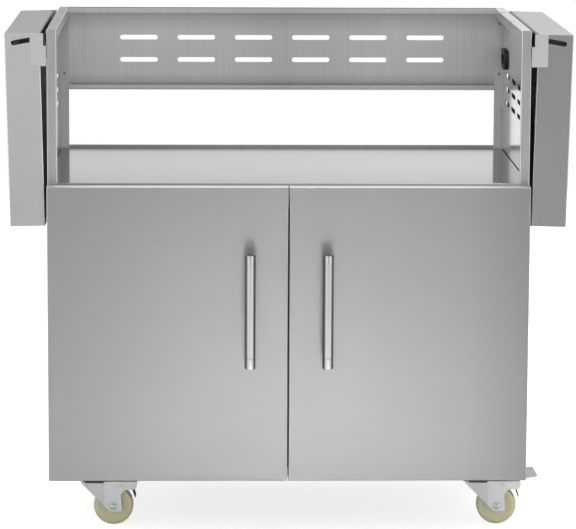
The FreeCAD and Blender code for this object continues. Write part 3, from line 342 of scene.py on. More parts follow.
def ground_steel(name: str, grain: Grain, smear: Smear, dark: str, light: str,
                 roughness: tuple[float, float], anisotropy: float = 0.8, grazing: float = 1.0,
                 facings: tuple[Facing, ...] = (), shades: tuple[Shade, ...] = ()) -> Finish:
    """Belt-ground stainless sheet: a soft, drawn-out sheen over fine lines.

    The real lines are about 0.2 mm apart; they are drawn coarser, so that they show.

    Args:
        name: the sheet's name, added to the material's.
        grain: which way the belt ran.
        smear: the direction in which reflections are drawn out.
        dark: the darkest tone in the pattern.
        light: the lightest.
        roughness: between the lines and on them.
        anisotropy: how strongly reflections are drawn out.
        grazing: how light the sheet is when seen almost edge on.
        facings: its painted light and shade by the way its faces look.
        shades: its painted shade along an axis.

    Returns:
        The finish.
    """
    return Finish("ground_stainless_" + name, dark, light, 1.0, roughness, grain, pitch_mm=2.2,
                  relief_mm=0.0006, grazing=grazing, anisotropy=anisotropy, smear=smear,
                  facings=facings, shades=shades)


def painted_fold_highlights(shade: float, *ways: Way) -> tuple[Facing, ...]:
    """Painted highlights along folds, by the directions that they look in."""
    return tuple(Facing(tuple(Vector(way).normalized()), shade, roughness=-0.1, start=0.88,
                        full=0.96) for way in ways)


UPWARD = (0.0, 0.0, 1.0)
FORWARD = (0.0, -1.0, 0.0)
LEFTWARD = (-1.0, 0.0, 0.0)
RIGHTWARD = (1.0, 0.0, 0.0)
UP_AND_FORWARD = (0.0, -0.7071, 0.7071)
# Painted highlights along the outside of the front and top folds.
FRONT_FOLD_HIGHLIGHTS = painted_fold_highlights(1.7, (-1.0, -1.0, 0.0), (1.0, -1.0, 0.0))
TOP_FOLD_HIGHLIGHT = painted_fold_highlights(1.5, (0.0, -1.0, 1.0))
# Painted shade in the rear corner of the side panels.
PAINTED_REAR_CORNER_SHADE = Shade("Y", 300.4, 288.0, 0.55)

# Ground stainless, in one finish for each sheet, each in its own tone; faces that look one way,
# folds and some stretches carry painted light and shade.
# Doors: level lines and an even sheen, with painted highlights along the folds, painted light on
# the top faces and painted shade towards the right edge.
DOOR_STEEL = ground_steel(
    "door", Grain.LEVEL, Smear.UPRIGHT, "#b4b4b2", "#b8b8b6", (0.31, 0.33),
    facings=FRONT_FOLD_HIGHLIGHTS + TOP_FOLD_HIGHLIGHT + (Facing(UPWARD, 1.3, 0.3, 0.95, 0.99),),
    shades=(Shade("X", 446.0, 330.0, 0.85),))
# Upper back panel: upright lines on a pale sheet, with painted shade on its top faces and top bend,
# a painted shadow under its top lip and above its foot, and painted shade in its middle.
PANEL_STEEL = ground_steel(
    "panel", Grain.UPRIGHT, Smear.ACROSS, "#dededc", "#efefed", (0.29, 0.33), 0.0, 0.25,
    facings=(Facing(UPWARD, 0.3, 0.2), Facing(UP_AND_FORWARD, 0.6, 0.0, 0.85, 0.95)),
    shades=(Shade("Z", 934.0, 895.0, 0.66), Shade("Z", 793.0, 812.0, 0.75),
            Shade("X", -2.0, 360.0, 0.8, True)))
# Lower back panel and caster rails: the same lines on a plainer, darker sheet.
REAR_STEEL = ground_steel(
    "rear", Grain.UPRIGHT, Smear.ACROSS, "#c6c6c4", "#d2d2d0", (0.29, 0.33), 0.0, 0.25)
# Side panels: upright lines and a glossy sheen drawn out along them, with painted light and shade
# on their top and front faces, brighter painted light on the front faces of their rear flanges,
# painted highlights along the front folds and painted shade in the rear corner.
LEFT_WALL_STEEL = ground_steel(
    "left_wall", Grain.UPRIGHT, Smear.UPRIGHT, "#c6c6c4", "#cacac8", (0.17, 0.21), 0.75,
    facings=(Facing(UPWARD, 0.5, 0.2), Facing(FORWARD, 0.97, 0.2),
             Facing(FORWARD, 1.5, 0.35, axis="Y", above_mm=250.0)) + FRONT_FOLD_HIGHLIGHTS,
    shades=(PAINTED_REAR_CORNER_SHADE,))
RIGHT_WALL_STEEL = ground_steel(
    "right_wall", Grain.UPRIGHT, Smear.UPRIGHT, "#bfbfbd", "#c3c3c1", (0.12, 0.15), 0.7,
    facings=(Facing(UPWARD, 1.05, 0.2), Facing(FORWARD, 1.06, 0.2),
             Facing(FORWARD, 1.6, 0.35, axis="Y", above_mm=250.0)) + FRONT_FOLD_HIGHLIGHTS,
    shades=(PAINTED_REAR_CORNER_SHADE,))
# Deck and floor: lines across a glossy sheet that mirrors what stands over it, with painted light
# on its front faces and painted shade towards the left.
DECK_STEEL = ground_steel(
    "deck", Grain.ACROSS, Smear.DEEP, "#aeaeac", "#b2b2b0", (0.13, 0.16), 0.85,
    facings=(Facing(FORWARD, 1.6, 0.3, 0.9, 0.98),), shades=(Shade("X", -442.0, 200.0, 0.72),))
# Side shelves: level lines and a broad, dull sheen. The left one is painted lighter, as lit, with
# painted shade on its top, on its side faces and towards its foot; the right one is painted darker,
# as in shade, with painted shade on its inner face and painted light on its outer one. Both carry
# painted highlights along the front folds.
LIGHT_PAINTED_LEFT_SHELF_STEEL = ground_steel(
    "left_shelf", Grain.LEVEL, Smear.FOLDED, "#e2e2e0", "#eaeae8", (0.35, 0.38),
    facings=(Facing(UPWARD, 0.35), Facing(RIGHTWARD, 0.3),
             Facing(LEFTWARD, 0.66, 0.0, 0.8, 0.95)) + FRONT_FOLD_HIGHLIGHTS,
    shades=(Shade("Z", 580.0, 940.0, 0.8),))
SHADE_PAINTED_RIGHT_SHELF_STEEL = ground_steel(
    "right_shelf", Grain.LEVEL, Smear.FOLDED, "#aaaaa8", "#b0b0ae", (0.35, 0.38),
    facings=(Facing(LEFTWARD, 0.5), Facing(RIGHTWARD, 1.25, 0.0, 0.8, 0.95)) + FRONT_FOLD_HIGHLIGHTS)
# The bracket plates are cut from bright sheet and left unground: paler and quite even.
BRACKET_STEEL = Finish(
    "bright_stainless_bracket", "#dadad8", "#dededc", 1.0, (0.4, 0.44), Grain.NONE, 6.0, 0.0,
    cloudiness=0.8)
# Polished stainless angle: a mirror that picks up a hard white line.
ANGLE_STEEL = Finish(
    "polished_stainless_angle", "#dededc", "#e4e4e2", 1.0, (0.12, 0.16), Grain.NONE, 6.0, 0.0)
# Centreless-ground round bar: fine rings draw highlights out along its length; its sides carry a
# painted dark reflection and its top end painted shade.
BAR_STEEL = Finish(
    "ring_ground_stainless_bar", "#d0d0ce", "#d8d8d6", 1.0, (0.2, 0.25), Grain.LEVEL, 1.4, 0.0,
    anisotropy=0.8,
    facings=(Facing(LEFTWARD, 0.25, 0.0, 0.42, 0.7), Facing(RIGHTWARD, 0.25, 0.0, 0.42, 0.7),
             Facing(UPWARD, 0.5)))
# Bright zinc plate on pressed steel: whiter than stainless, slightly mottled, no grain.
ZINC = Finish(
    "bright_zinc_plate", "#e8eaea", "#f5f6f6", 0.35, (0.4, 0.5), Grain.NONE, 5.0, 0.004,
    cloud_mm=30.0, cloudiness=0.5)
# The same plate, painted darker as shade, on the slanted part of a cheek behind the crease.
SHADE_PAINTED_ZINC = Finish(
    "shade_painted_zinc_plate", "#dcdedf", "#e8e9ea", 0.35, (0.4, 0.5), Grain.NONE, 5.0, 0.004,
    cloud_mm=30.0, cloudiness=0.5)
# Turned and zinc-plated fasteners: brighter points and darker rims than the pressed sheet.
BRIGHT_ZINC = Finish(
    "bright_zinc_fastener", "#d6d8d8", "#e2e3e3", 1.0, (0.14, 0.2), Grain.NONE, 5.0, 0.0)
# Small stainless screws seen end on: painted darker than the sheet, for the dark bay that they
# reflect.
SCREW_STEEL = Finish(
    "turned_stainless_screw", "#858583", "#8e8e8c", 1.0, (0.3, 0.35), Grain.NONE, 5.0, 0.0)
# Zinc plate under the cabinet, painted dark for the shadow that falls there.
SHADOW_PAINTED_ZINC = Finish(
    "shadow_painted_zinc_plate", "#4d4e4e", "#5b5c5c", 1.0, (0.5, 0.6), Grain.NONE, 9.0, 0.004)
# Cast nylon, moulded: an even olive beige with a soft, slightly waxy sheen.
NYLON = Finish(
    "moulded_nylon_beige", "#dbd7b2", "#e4e0be", 0.0, (0.38, 0.5), Grain.NONE, 6.0, 0.004,
    ior=1.53)
# Glass-filled nylon, moulded: a mid grey with a faint speckle.
PEDAL_NYLON = Finish(
    "moulded_nylon_grey", "#bcbcbb", "#dededd", 0.0, (0.45, 0.6), Grain.NONE, 1.6, 0.05,
    ior=1.53, cloudiness=0.1)
# Spring steel painted near black as shadow: a dry-looking blade.
SHADOW_PAINTED_BLADE_STEEL = Finish(
    "shadow_painted_spring_steel", "#2a2a2b", "#363637", 0.6, (0.5, 0.6), Grain.NONE, 4.0, 0.004)
# EPDM rubber, moulded: near black and matt.
RUBBER = Finish(
    "moulded_epdm_rubber", "#0d0d0d", "#161616", 0.0, (0.55, 0.7), Grain.NONE, 3.0, 0.01, ior=1.52)
# Acetal, moulded: black with a low gloss.
ACETAL = Finish(
    "moulded_acetal_black", "#1a1a1b", "#232324", 0.0, (0.35, 0.45), Grain.NONE, 3.0, 0.004,
    ior=1.48)


def frame_nodes() -> dict[str, bpy.types.Object]:
    """The CAD nodes by name."""
    return FRAME["nodes"]


def dress(node: str, finish: Finish) -> None:
    """Give a CAD node a finish in place of its plain colour.

    Args:
        node: the node's name.
        finish: what it is finished in.
    """
    slots = frame_nodes()[node].data.materials
    slots.clear()
    slots.append(finish.material())


def add_piece(name: str, shape: bmesh.types.BMesh, finishes: list[Finish], node: str,
              sharp: float = 35.0) -> bpy.types.Object:
    """Turn a finished shape into a piece that stands for a CAD node and rides on its body.

    Args:
        name: the piece's name.
        shape: the mesh, in its place; it is freed here.
        finishes: its materials in slot order.
        node: the CAD node that it replaces.
        sharp: edges sharper than this many degrees stay crisp.

    Returns:
        The new object.
    """
    mesh = bpy.data.meshes.new(name)
    bmesh.ops.recalc_face_normals(shape, faces=shape.faces)
    for face in shape.faces:
        face.smooth = True
    shape.to_mesh(mesh)
    shape.free()
    mesh.set_sharp_from_angle(angle=math.radians(sharp))
    for finish in finishes:
        mesh.materials.append(finish.material())
    piece = bpy.data.objects.new(name, mesh)
    bpy.context.scene.collection.objects.link(piece)
    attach(piece, frame_nodes()[node]["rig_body"])
    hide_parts(node)
    LOG.info("built %s, %d faces", name, len(mesh.polygons))
    return piece


def round_edges(piece: bpy.types.Object, width: float, angle: float) -> None:
    """Round a pressed or moulded piece's sharp edges by a modifier.

    Args:
        piece: the piece.
        width: how far the rounding reaches on each side of an edge.
        angle: edges sharper than this many degrees are rounded.
    """
    edge = piece.modifiers.new("softened_edges", "BEVEL")
    edge.width = width
    edge.segments = 2
    edge.limit_method = "ANGLE"
    edge.angle_limit = math.radians(angle)


def spun(profile: list[tuple[float, float]], axis: Vector, centre: Vector,
         steps: int) -> bmesh.types.BMesh:
    """Spin a closed profile into a turned shape.

    Args:
        profile: corners as distance along the axis from the centre, and radius.
        axis: the turning axis, along Y or Z.
        centre: a point on it.
        steps: sides of the round.

    Returns:
        The turned shape, closed and merged.
    """
    shape = bmesh.new()
    out = Vector((1.0, 0.0, 0.0))
    outline = [shape.verts.new(centre + axis * along + out * radius) for along, radius in profile]
    rim = [shape.edges.new(pair) for pair in zip(outline, outline[1:])]
    bmesh.ops.spin(shape, geom=outline + rim, cent=centre, axis=axis, angle=math.tau,
                   steps=steps, use_merge=True)
    bmesh.ops.remove_doubles(shape, verts=shape.verts, dist=MERGE)
    return shape


def rings_at(shape: bmesh.types.BMesh, axis: Vector, centre: Vector, along: float,
             radius: float) -> list[bmesh.types.BMEdge]:
    """The edges that run round a turned shape at one place.

    Args:
        shape: the turned shape.
        axis: its turning axis.
        centre: a point on the axis.
        along: how far from the centre the edges lie along the axis.
        radius: how far from the axis they lie.

    Returns:
        The edges found.
    """
    near = 0.02 * MM
    found = []
    for edge in shape.edges:
        arms = [vertex.co - centre for vertex in edge.verts]
        if all(abs(arm.dot(axis) - along) <= near
               and abs((arm - axis * arm.dot(axis)).length - radius) <= near for arm in arms):
            found.append(edge)
    return found


def soften(shape: bmesh.types.BMesh, edges: list[bmesh.types.BMEdge], width: float,
           segments: int) -> None:
    """Round edges with a bevel."""
    bmesh.ops.bevel(shape, geom=edges, offset=width, affect="EDGES", segments=segments,
                    profile=0.5, material=-1, clamp_overlap=True)


def node_copy(node: str) -> bmesh.types.BMesh:
    """A merged copy of a CAD node's mesh, to be worked on.

    Args:
        node: the node's name.

    Returns:
        The copy, with its flat faces whole.
    """
    shape = bmesh.new()
    shape.from_mesh(frame_nodes()[node].data)
    bmesh.ops.remove_doubles(shape, verts=shape.verts, dist=MERGE)
    bmesh.ops.dissolve_limit(shape, angle_limit=math.radians(1.0), verts=shape.verts,
                             edges=shape.edges)
    return shape


def split(shape: bmesh.types.BMesh, place: Vector, way: Vector, clear: bool = False) -> list:
    """Cut a shape along a plane.

    Args:
        shape: the shape.
        place: a point on the plane.
        way: the direction that the plane looks in.
        clear: whether what lies beyond the plane is cut away.

    Returns:
        The edges and corners along the cut.
    """
    parts = [item for kind in (shape.verts, shape.edges, shape.faces) for item in kind]
    cut = bmesh.ops.bisect_plane(shape, geom=parts, dist=MERGE, plane_co=place, plane_no=way,
                                 clear_outer=clear)
    return cut["geom_cut"]


def cut_off(shape: bmesh.types.BMesh, place: Vector, outward: Vector) -> None:
    """Cut away what lies beyond a plane and close the cut.

    Args:
        shape: the shape.
        place: a point on the plane.
        outward: the direction that the plane looks in.
    """
    cut = split(shape, place, outward, clear=True)
    rim = [item for item in cut if isinstance(item, bmesh.types.BMEdge)]
    bmesh.ops.holes_fill(shape, edges=rim, sides=0)


def middle(node: str) -> tuple[Vector, Vector]:
    """The middle and the full size of a CAD node's box.

    Args:
        node: the node's name.

    Returns:
        The middle, and the lengths of the box's sides.
    """
    low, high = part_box(node)
    low, high = Vector(low), Vector(high)
    return (low + high) / 2, high - low


class SubAssembly:
    """What goes together on the bench: its nodes are dressed, and some are rebuilt."""

    def dress(self) -> None:
        """Give the nodes that keep their CAD shape their finishes."""
        raise NotImplementedError

    def build(self) -> None:
        """Rebuild nothing: folded sheet keeps its CAD shape."""


@dataclass
class Cabinet(SubAssembly):
    """The fixed cabinet: walls, posts, back panels, deck, floor and what is fixed to them."""

    wall_steels: tuple[Finish, Finish] = (LEFT_WALL_STEEL, RIGHT_WALL_STEEL)

    def dress(self) -> None:
        """Give every fixed node its finish."""
        for side, wall_steel in zip(SIDES, self.wall_steels):
            dress(side + "_side_panel", wall_steel)
            dress(side + "_caster_rail", REAR_STEEL)
            dress(side + "_magnet_catch", ACETAL)
            dress(side + "_shelf_studs", ZINC)
            for level in ("lower", "upper"):
                dress("%s_%s_hinge_bracket" % (side, level), ZINC)
            for row in ROWS:
                dress("%s_%s_shelf_bracket" % (row, side), BRACKET_STEEL)
        dress("upper_back_panel", PANEL_STEEL)
        dress("lower_back_panel", REAR_STEEL)
        dress("deck", DECK_STEEL)
        dress("floor", DECK_STEEL)
        for angle in ("hose_hood", "hose_ledge"):
            dress(angle, ANGLE_STEEL)
        dress("hose_grommet", RUBBER)
        dress("hinge_studs", ZINC)
        dress("back_panel_screws", SCREW_STEEL)
        dress("caster_bolts", SHADOW_PAINTED_ZINC)


@dataclass
class Door(SubAssembly):
    """One hinged door with its bar handle."""

    side: str
    chamfer: float = 1.0 * MM
    cap: float = 19.5 * MM
    groove: float = 1.4 * MM
    groove_depth: float = 0.8 * MM
    steps: int = 96

    def dress(self) -> None:
        """Give the door's nodes their finishes."""
        dress(self.side + "_door_skin", DOOR_STEEL)
        dress(self.side + "_door_liner", DOOR_STEEL)
        dress(self.side + "_door_bushes", ACETAL)
        dress(self.side + "_handle_standoffs", BAR_STEEL)
        dress(self.side + "_handle_screws", BRIGHT_ZINC)

    def build(self) -> None:
        """Turn the bar: a grooved end cap at each end and small chamfers."""
        node = self.side + "_handle_bar"
        centre, size = middle(node)
        half, radius = size.z / 2, size.x / 2
        axis = Vector((0.0, 0.0, 1.0))
        outer = half - self.cap + self.groove / 2
        inner = outer - self.groove
        neck = radius - self.groove_depth
        upper = [(inner, radius), (inner, neck), (outer, neck), (outer, radius), (half, radius),
                 (half, 0.0)]
        lower = [(-along, out) for along, out in reversed(upper)]
        shape = spun(lower + upper, axis, centre, self.steps)
        for end in (-half, half):
            soften(shape, rings_at(shape, axis, centre, end, radius), self.chamfer, 2)
        add_piece(self.side + "_handle_bar_turned", shape, [BAR_STEEL], node)


@dataclass
class SideShelf(SubAssembly):
    """One folding side shelf."""

    side: str
    steel: Finish

    def dress(self) -> None:
        """Give the shelf's nodes their finishes."""
        dress(self.side + "_shelf_pan", self.steel)
        dress(self.side + "_shelf_stiffener", self.steel)


@dataclass
class Caster(SubAssembly):
    """One swivel caster, with a brake pedal at the front."""

    row: str
    side: str
    # wheel
    tread_round: float = 7.84 * MM
    tread_segments: int = 8
    rim_depth: float = 11.0 * MM
    rim_round: float = 0.6 * MM
    recess: float = 1.0 * MM
    hub_radius: float = 10.0 * MM
    hub_proud: float = 2.5 * MM
    hub_round: float = 0.7 * MM
    bore: float = 4.05 * MM
    seam: float = 0.2 * MM
    seam_place: float = 0.3
    wheel_steps: int = 72
    # fork
    cheek_face: float = 20.5 * MM
    cheek_inside: float = 17.5 * MM
    cheek_spare: float = 0.05 * MM
    crown_below: float = 14.0 * MM
    crown_top: float = 85.0 * MM
    crown_spare: float = 0.2 * MM
    arm_end: float = 6.0 * MM
    arm_lean: float = 0.25
    crease_back: float = 17.0 * MM
    crease_lean: float = 0.06
    cheek_turn: float = 0.7
    press_round: float = 0.5 * MM
    # rivet and pedal
    rivet_ahead: float = 12.5 * MM
    rivet_above: float = 23.0 * MM
    rivet_radius: float = 3.3 * MM
    rivet_height: float = 1.4 * MM
    blade_below: float = 6.0 * MM
    pedal_round: float = 0.7 * MM
    # axle
    shank: float = 4.0 * MM
    shank_steps: int = 32
    head_height: float = 5.0 * MM
    far_nut_height: float = 6.5 * MM
    nut_flat: float = 6.5 * MM
    nut_spread: float = 1.1
    nut_height: float = 3.0 * MM
    nut_sides: int = 6
    dome_radius: float = 5.2 * MM
    dome_flatness: float = 0.42
    washer_radius: float = 7.4 * MM
    washer_height: float = 1.0 * MM
    washer_sides: int = 40

    @property
    def name(self) -> str:
        """The start of the caster's node names."""
        return "%s_%s_caster_" % (self.row, self.side)

    @property
    def pedal_node(self) -> str:
        """The name of the brake pedal's node, at the front."""
        return "front_%s_brake_pedal" % self.side

    def dress(self) -> None:
        """Give the node that keeps its CAD shape its finish."""
        dress(self.name + "plate", SHADOW_PAINTED_ZINC)

    def build(self) -> None:
        """Make the wheel, axle, fork and, at the front, the pedal."""
        self.wheel()
        self.axle()
        self.fork()
        if self.row == "front":
            self.pedal()

    def wheel(self) -> None:
        """Turn the wheel: a rounded tread, a seam round each face, and a hub in a recess."""
        node = self.name + "wheel"
        centre, size = middle(node)
        axis = Vector((0.0, 1.0, 0.0))
        radius = size.z / 2
        hub = size.y / 2
        face = hub - self.hub_proud
        floor = face - self.recess
        rim = radius - self.rim_depth
        mark = rim + self.rim_depth * self.seam_place
        far = [(hub, self.bore), (hub, self.hub_radius), (floor, self.hub_radius), (floor, rim),
               (face, rim), (face, mark), (face - self.seam, mark + self.seam),
               (face, mark + 2 * self.seam), (face, radius)]
        near = [(-along, out) for along, out in reversed(far)]
        shape = spun(near + far + [near[0]], axis, centre, self.wheel_steps)
        for end in (-1, 1):
            for along, out, width, segments in (
                    (face, radius, self.tread_round, self.tread_segments),
                    (face, rim, self.rim_round, 2),
                    (hub, self.hub_radius, self.hub_round, 2),
                    (floor, rim, self.rim_round, 2)):
                soften(shape, rings_at(shape, axis, centre, end * along, out), width, segments)
        add_piece(self.name + "wheel_moulded", shape, [NYLON], node)

    def axle(self) -> None:
        """Make the axle bolt, with a washer and a domed nut at each end."""
        node = self.name + "axle"
        centre, size = middle(node)
        axis = Vector((0.0, 1.0, 0.0))
        cheek_front = -size.y / 2 + self.head_height
        cheek_back = size.y / 2 - self.far_nut_height
        shape = spun([(cheek_front, 0.0), (cheek_front, self.shank), (cheek_back, self.shank),
                      (cheek_back, 0.0)], axis, centre, self.shank_steps)
        for start, outward in ((cheek_front, -1), (cheek_back, 1)):
            turn = Matrix.Rotation(math.radians(-90 * outward), 4, "X")
            for sides, radius, height, above in (
                    (self.washer_sides, self.washer_radius, self.washer_height,
                     self.washer_height / 2),
                    (self.nut_sides, self.nut_flat * self.nut_spread, self.nut_height,
                     self.washer_height + self.nut_height / 2)):
                place = Matrix.Translation(centre + axis * (start + outward * above))
                bmesh.ops.create_cone(shape, cap_ends=True, segments=sides, radius1=radius,
                                      radius2=radius, depth=height, matrix=place @ turn)
            top = centre + axis * (start + outward * (self.washer_height + self.nut_height))
            flat = Matrix.Diagonal((1.0, 1.0, self.dome_flatness, 1.0))
            bmesh.ops.create_uvsphere(shape, u_segments=32, v_segments=16, radius=self.dome_radius,
                                      matrix=Matrix.Translation(top) @ turn @ flat)
        add_piece(self.name + "axle_domed", shape, [BRIGHT_ZINC], node)

    def fork(self) -> None:
        """Rework the fork: a crown trimmed to the cheeks, creased cheeks and, at the front, rivet
        heads.
        """
        node = self.name + "fork"
        finishes = [ZINC, SHADE_PAINTED_ZINC, SHADOW_PAINTED_ZINC]
        shape = node_copy(node)
        centre = middle(self.name + "axle")[0]
        low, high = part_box(node)
        centre.y = (low[1] + high[1]) / 2
        crease = centre.x - self.crease_back
        for side in (-1, 1):
            edge = centre.y + side * (self.cheek_face + self.cheek_spare)
            cut_off(shape, Vector((0.0, edge, 0.0)), Vector((0.0, side, 0.0)))
        split(shape, Vector((crease, 0.0, 0.0)), Vector((1.0, 0.0, 0.0)))
        self.bend_cheeks(shape, centre.y, crease, high[0] - self.arm_end)
        if self.row == "front":
            self.rivet_heads(shape, centre)
        # The crown's top under the cabinet gets painted shadow; the slanted cheek faces behind the
        # crease get painted shade.
        for part in shape.faces:
            spot = part.calc_center_median()
            if spot.z > self.crown_top + self.crown_spare:
                part.material_index = finishes.index(SHADOW_PAINTED_ZINC)
            elif spot.x < crease and abs(part.normal.y) > self.cheek_turn:
                part.material_index = finishes.index(SHADE_PAINTED_ZINC)
        piece = add_piece(self.name + "fork_pressed", shape, finishes, node, sharp=25.0)
        round_edges(piece, self.press_round, angle=50.0)

    def bend_cheeks(self, shape: bmesh.types.BMesh, swivel: float, crease: float,
                    arm: float) -> None:
        """Lean the cheeks in behind the crease, and lean the end of the arm back.

        Args:
            shape: the fork.
            swivel: the middle between the cheeks, along Y.
            crease: where the crease runs, along X.
            arm: where the end of the arm begins, along X.
        """
        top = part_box(self.name + "plate")[0][2] - self.crown_below
        for vertex in shape.verts:
            out = vertex.co.y - swivel
            if vertex.co.z >= top:
                continue
            if vertex.co.x < crease - MERGE and abs(out) > self.cheek_inside:
                lean = (crease - vertex.co.x) * self.crease_lean
                vertex.co.y -= math.copysign(lean, out)
            if vertex.co.x > arm:
                vertex.co.x -= (top - vertex.co.z) * self.arm_lean

    def rivet_heads(self, shape: bmesh.types.BMesh, centre: Vector) -> None:
        """Add the domed heads of the rivet that the pedal turns on.

        Args:
            shape: the fork.
            centre: the middle of the axle, between the cheeks.
        """
        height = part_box(self.pedal_node)[0][2] + self.rivet_above
        flat = Matrix.Diagonal((1.0, self.rivet_height / self.rivet_radius, 1.0, 1.0))
        for side in (-1, 1):
            spot = Vector((centre.x + self.rivet_ahead, centre.y + side * self.cheek_face, height))
            bmesh.ops.create_uvsphere(shape, u_segments=24, v_segments=12,
                                      radius=self.rivet_radius,
                                      matrix=Matrix.Translation(spot) @ flat)

    def pedal(self) -> None:
        """Rework the pedal: rounded edges, and a brake blade below its pad, painted near black as
        shadow.
        """
        finishes = [PEDAL_NYLON, SHADOW_PAINTED_BLADE_STEEL]
        shape = node_copy(self.pedal_node)
        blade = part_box(self.pedal_node)[0][2] + self.rivet_above - self.blade_below
        split(shape, Vector((0.0, 0.0, blade)), Vector((0.0, 0.0, 1.0)))
        # The blade below the pad gets painted shadow.
        for face in shape.faces:
            below = face.calc_center_median().z < blade
            face.material_index = finishes.index(SHADOW_PAINTED_BLADE_STEEL if below else PEDAL_NYLON)
        piece = add_piece(self.pedal_node + "_ribbed", shape, finishes, self.pedal_node)
        round_edges(piece, self.pedal_round, angle=40.0)


@dataclass
class Lamp:
    """A soft rectangular studio lamp."""

    name: str
    place: tuple[float, float, float]
    target: tuple[float, float, float]
    width: float
    height: float
    power: float
    spread: float = 180.0

    def light(self) -> None:
        """Hang the lamp and point it at its target."""
        data = bpy.data.lights.new(self.name, "AREA")
        data.shape = "RECTANGLE"
        data.size = self.width
        data.size_y = self.height
        data.energy = self.power
        data.spread = math.radians(self.spread)
        lamp = bpy.data.objects.new(self.name, data)
        lamp.location = self.place
        aim = Vector(self.target) - lamp.location
        lamp.rotation_euler = aim.to_track_quat("-Z", "Y").to_euler()
        bpy.context.scene.collection.objects.link(lamp)


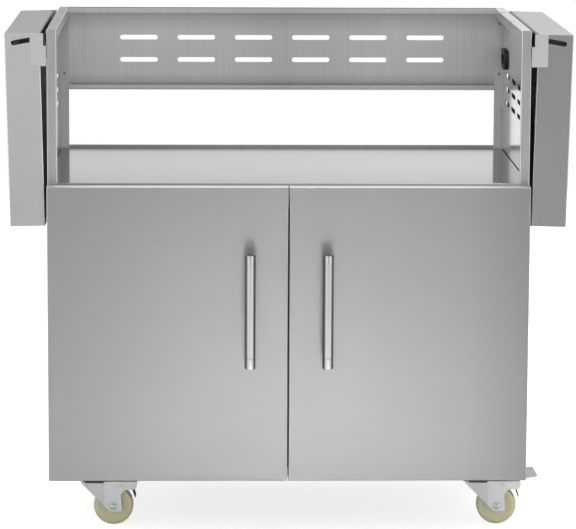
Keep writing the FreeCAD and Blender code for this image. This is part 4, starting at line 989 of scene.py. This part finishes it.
@dataclass
class Studio:
    """The pale floor, soft lamps, white surroundings and camera."""

    # camera, in pixels, metres and degrees
    focal_px: float = 3137.5
    camera_place: tuple[float, float, float] = (-0.1578, -5.9601, 1.4301)
    turn_right: float = 1.57
    look_down: float = 9.12
    roll: float = 0.281
    sensor_mm: float = 36.0
    sight: float = 100.0
    # floor
    floor_width: float = 5.0
    floor_depth: float = 9.0
    floor_colour: str = "#e6e6e5"
    floor_roughness: float = 0.9
    floor_glow: float = 0.72
    # brightness of the surroundings, by degrees away from the front
    brightest: float = 1.3
    round_the_cart: tuple[tuple[float, float], ...] = (
        (0.0, 0.42), (13.0, 0.45), (22.0, 1.1), (54.0, 1.1), (66.0, 0.75), (112.0, 0.75),
        (128.0, 1.0), (180.0, 1.0))
    lamps: tuple[Lamp, ...] = (
        Lamp("front_pool", (0.06, -1.3, 2.6), (0.06, -1.2, 0.0), 0.5, 1.0, 5.0, 28.0),
        Lamp("bay_top", (0.2, 0.3, 2.8), (0.0, 0.1, 0.6), 3.2, 2.6, 20.0),
    )

    def camera(self) -> None:
        """Stand the camera where the photograph was taken."""
        data = bpy.data.cameras.new("camera")
        data.sensor_width = self.sensor_mm
        data.lens = self.focal_px / PHOTO_WIDTH_PX * self.sensor_mm
        data.clip_end = self.sight
        camera = bpy.data.objects.new("camera", data)
        level = Euler((math.radians(90 - self.look_down), 0.0, math.radians(-self.turn_right)))
        spin = Matrix.Rotation(math.radians(self.roll), 4, "Z")
        stand = Matrix.Translation(self.camera_place)
        camera.matrix_world = stand @ level.to_matrix().to_4x4() @ spin
        bpy.context.scene.collection.objects.link(camera)
        bpy.context.scene.camera = camera

    def floor(self) -> None:
        """Lay a pale floor that keeps the cart's shadow and meets the white surroundings."""
        mesh = bpy.data.meshes.new("studio_floor")
        shape = bmesh.new()
        bmesh.ops.create_grid(shape, x_segments=1, y_segments=1, size=0.5)
        bmesh.ops.scale(shape, vec=(self.floor_width, self.floor_depth, 1.0), verts=shape.verts)
        shape.to_mesh(mesh)
        shape.free()
        floor = bpy.data.objects.new("studio_floor", mesh)
        bpy.context.scene.collection.objects.link(floor)
        material = bpy.data.materials.new("pale_studio_floor")
        material.use_nodes = True
        tree = material.node_tree
        shader = tree.nodes["Principled BSDF"]
        shader.inputs["Base Color"].default_value = linear(self.floor_colour)
        shader.inputs["Roughness"].default_value = self.floor_roughness
        shader.inputs["Specular IOR Level"].default_value = 0.0
        path = add_node(tree, "ShaderNodeLightPath")
        seen = add_node(tree, "ShaderNodeMath", {"operation": "MULTIPLY", 1: self.floor_glow},
                        {0: path.outputs["Is Camera Ray"]})
        glow = add_node(tree, "ShaderNodeEmission", {"Color": WHITE},
                        {"Strength": seen.outputs["Value"]})
        both = add_node(tree, "ShaderNodeAddShader",
                        links={0: shader.outputs["BSDF"], 1: glow.outputs["Emission"]})
        tree.links.new(both.outputs["Shader"], tree.nodes["Material Output"].inputs["Surface"])
        mesh.materials.append(material)

    def surroundings(self) -> None:
        """White to the camera; to the steel, soft walls of light with darker gaps between them."""
        world = bpy.data.worlds.new("studio")
        bpy.context.scene.world = world
        world.use_nodes = True
        tree = world.node_tree
        path = add_node(tree, "ShaderNodeLightPath")
        place = add_node(tree, "ShaderNodeTexCoord")
        apart = add_node(tree, "ShaderNodeSeparateXYZ",
                         links={"Vector": place.outputs["Generated"]})
        aside = add_node(tree, "ShaderNodeMath", {"operation": "ABSOLUTE"},
                         {0: apart.outputs["X"]})
        ahead = add_node(tree, "ShaderNodeMath", {"operation": "MULTIPLY", 1: -1.0},
                         {0: apart.outputs["Y"]})
        angle = add_node(tree, "ShaderNodeMath", {"operation": "ARCTAN2"},
                         {0: aside.outputs["Value"], 1: ahead.outputs["Value"]})
        share = add_node(tree, "ShaderNodeMath", {"operation": "DIVIDE", 1: math.pi},
                         {0: angle.outputs["Value"]})
        walls = add_node(tree, "ShaderNodeValToRGB", links={"Fac": share.outputs["Value"]})
        set_stops(walls.color_ramp, [(degrees / 180, grey(level / self.brightest))
                                     for degrees, level in self.round_the_cart])
        bright = add_node(tree, "ShaderNodeMath", {"operation": "MULTIPLY", 1: self.brightest},
                          {0: walls.outputs["Color"]})
        shown = add_node(tree, "ShaderNodeMix", {"data_type": "FLOAT", 3: 1.0},
                         {"Factor": path.outputs["Is Camera Ray"], 2: bright.outputs["Value"]})
        background = tree.nodes["Background"]
        background.inputs["Color"].default_value = WHITE
        tree.links.new(shown.outputs[0], background.inputs["Strength"])

    def build(self) -> None:
        """Set up the whole studio."""
        self.camera()
        self.floor()
        self.surroundings()
        for lamp in self.lamps:
            lamp.light()
        bpy.context.scene.view_settings.view_transform = "Standard"


def main() -> None:
    """Dress the frame, build the pieces and set up the studio."""
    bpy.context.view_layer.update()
    Studio().build()
    assemblies: list[SubAssembly] = [Cabinet()]
    for side, steel in zip(SIDES, (LIGHT_PAINTED_LEFT_SHELF_STEEL, SHADE_PAINTED_RIGHT_SHELF_STEEL)):
        assemblies += [Door(side), SideShelf(side, steel)]
        assemblies += [Caster(row, side) for row in ROWS]
    for assembly in assemblies:
        assembly.dress()
        assembly.build()
        LOG.info("finished %s", type(assembly).__name__)


if __name__ == "__main__":
    logging.basicConfig(level=logging.INFO)
    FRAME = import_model()
    main()
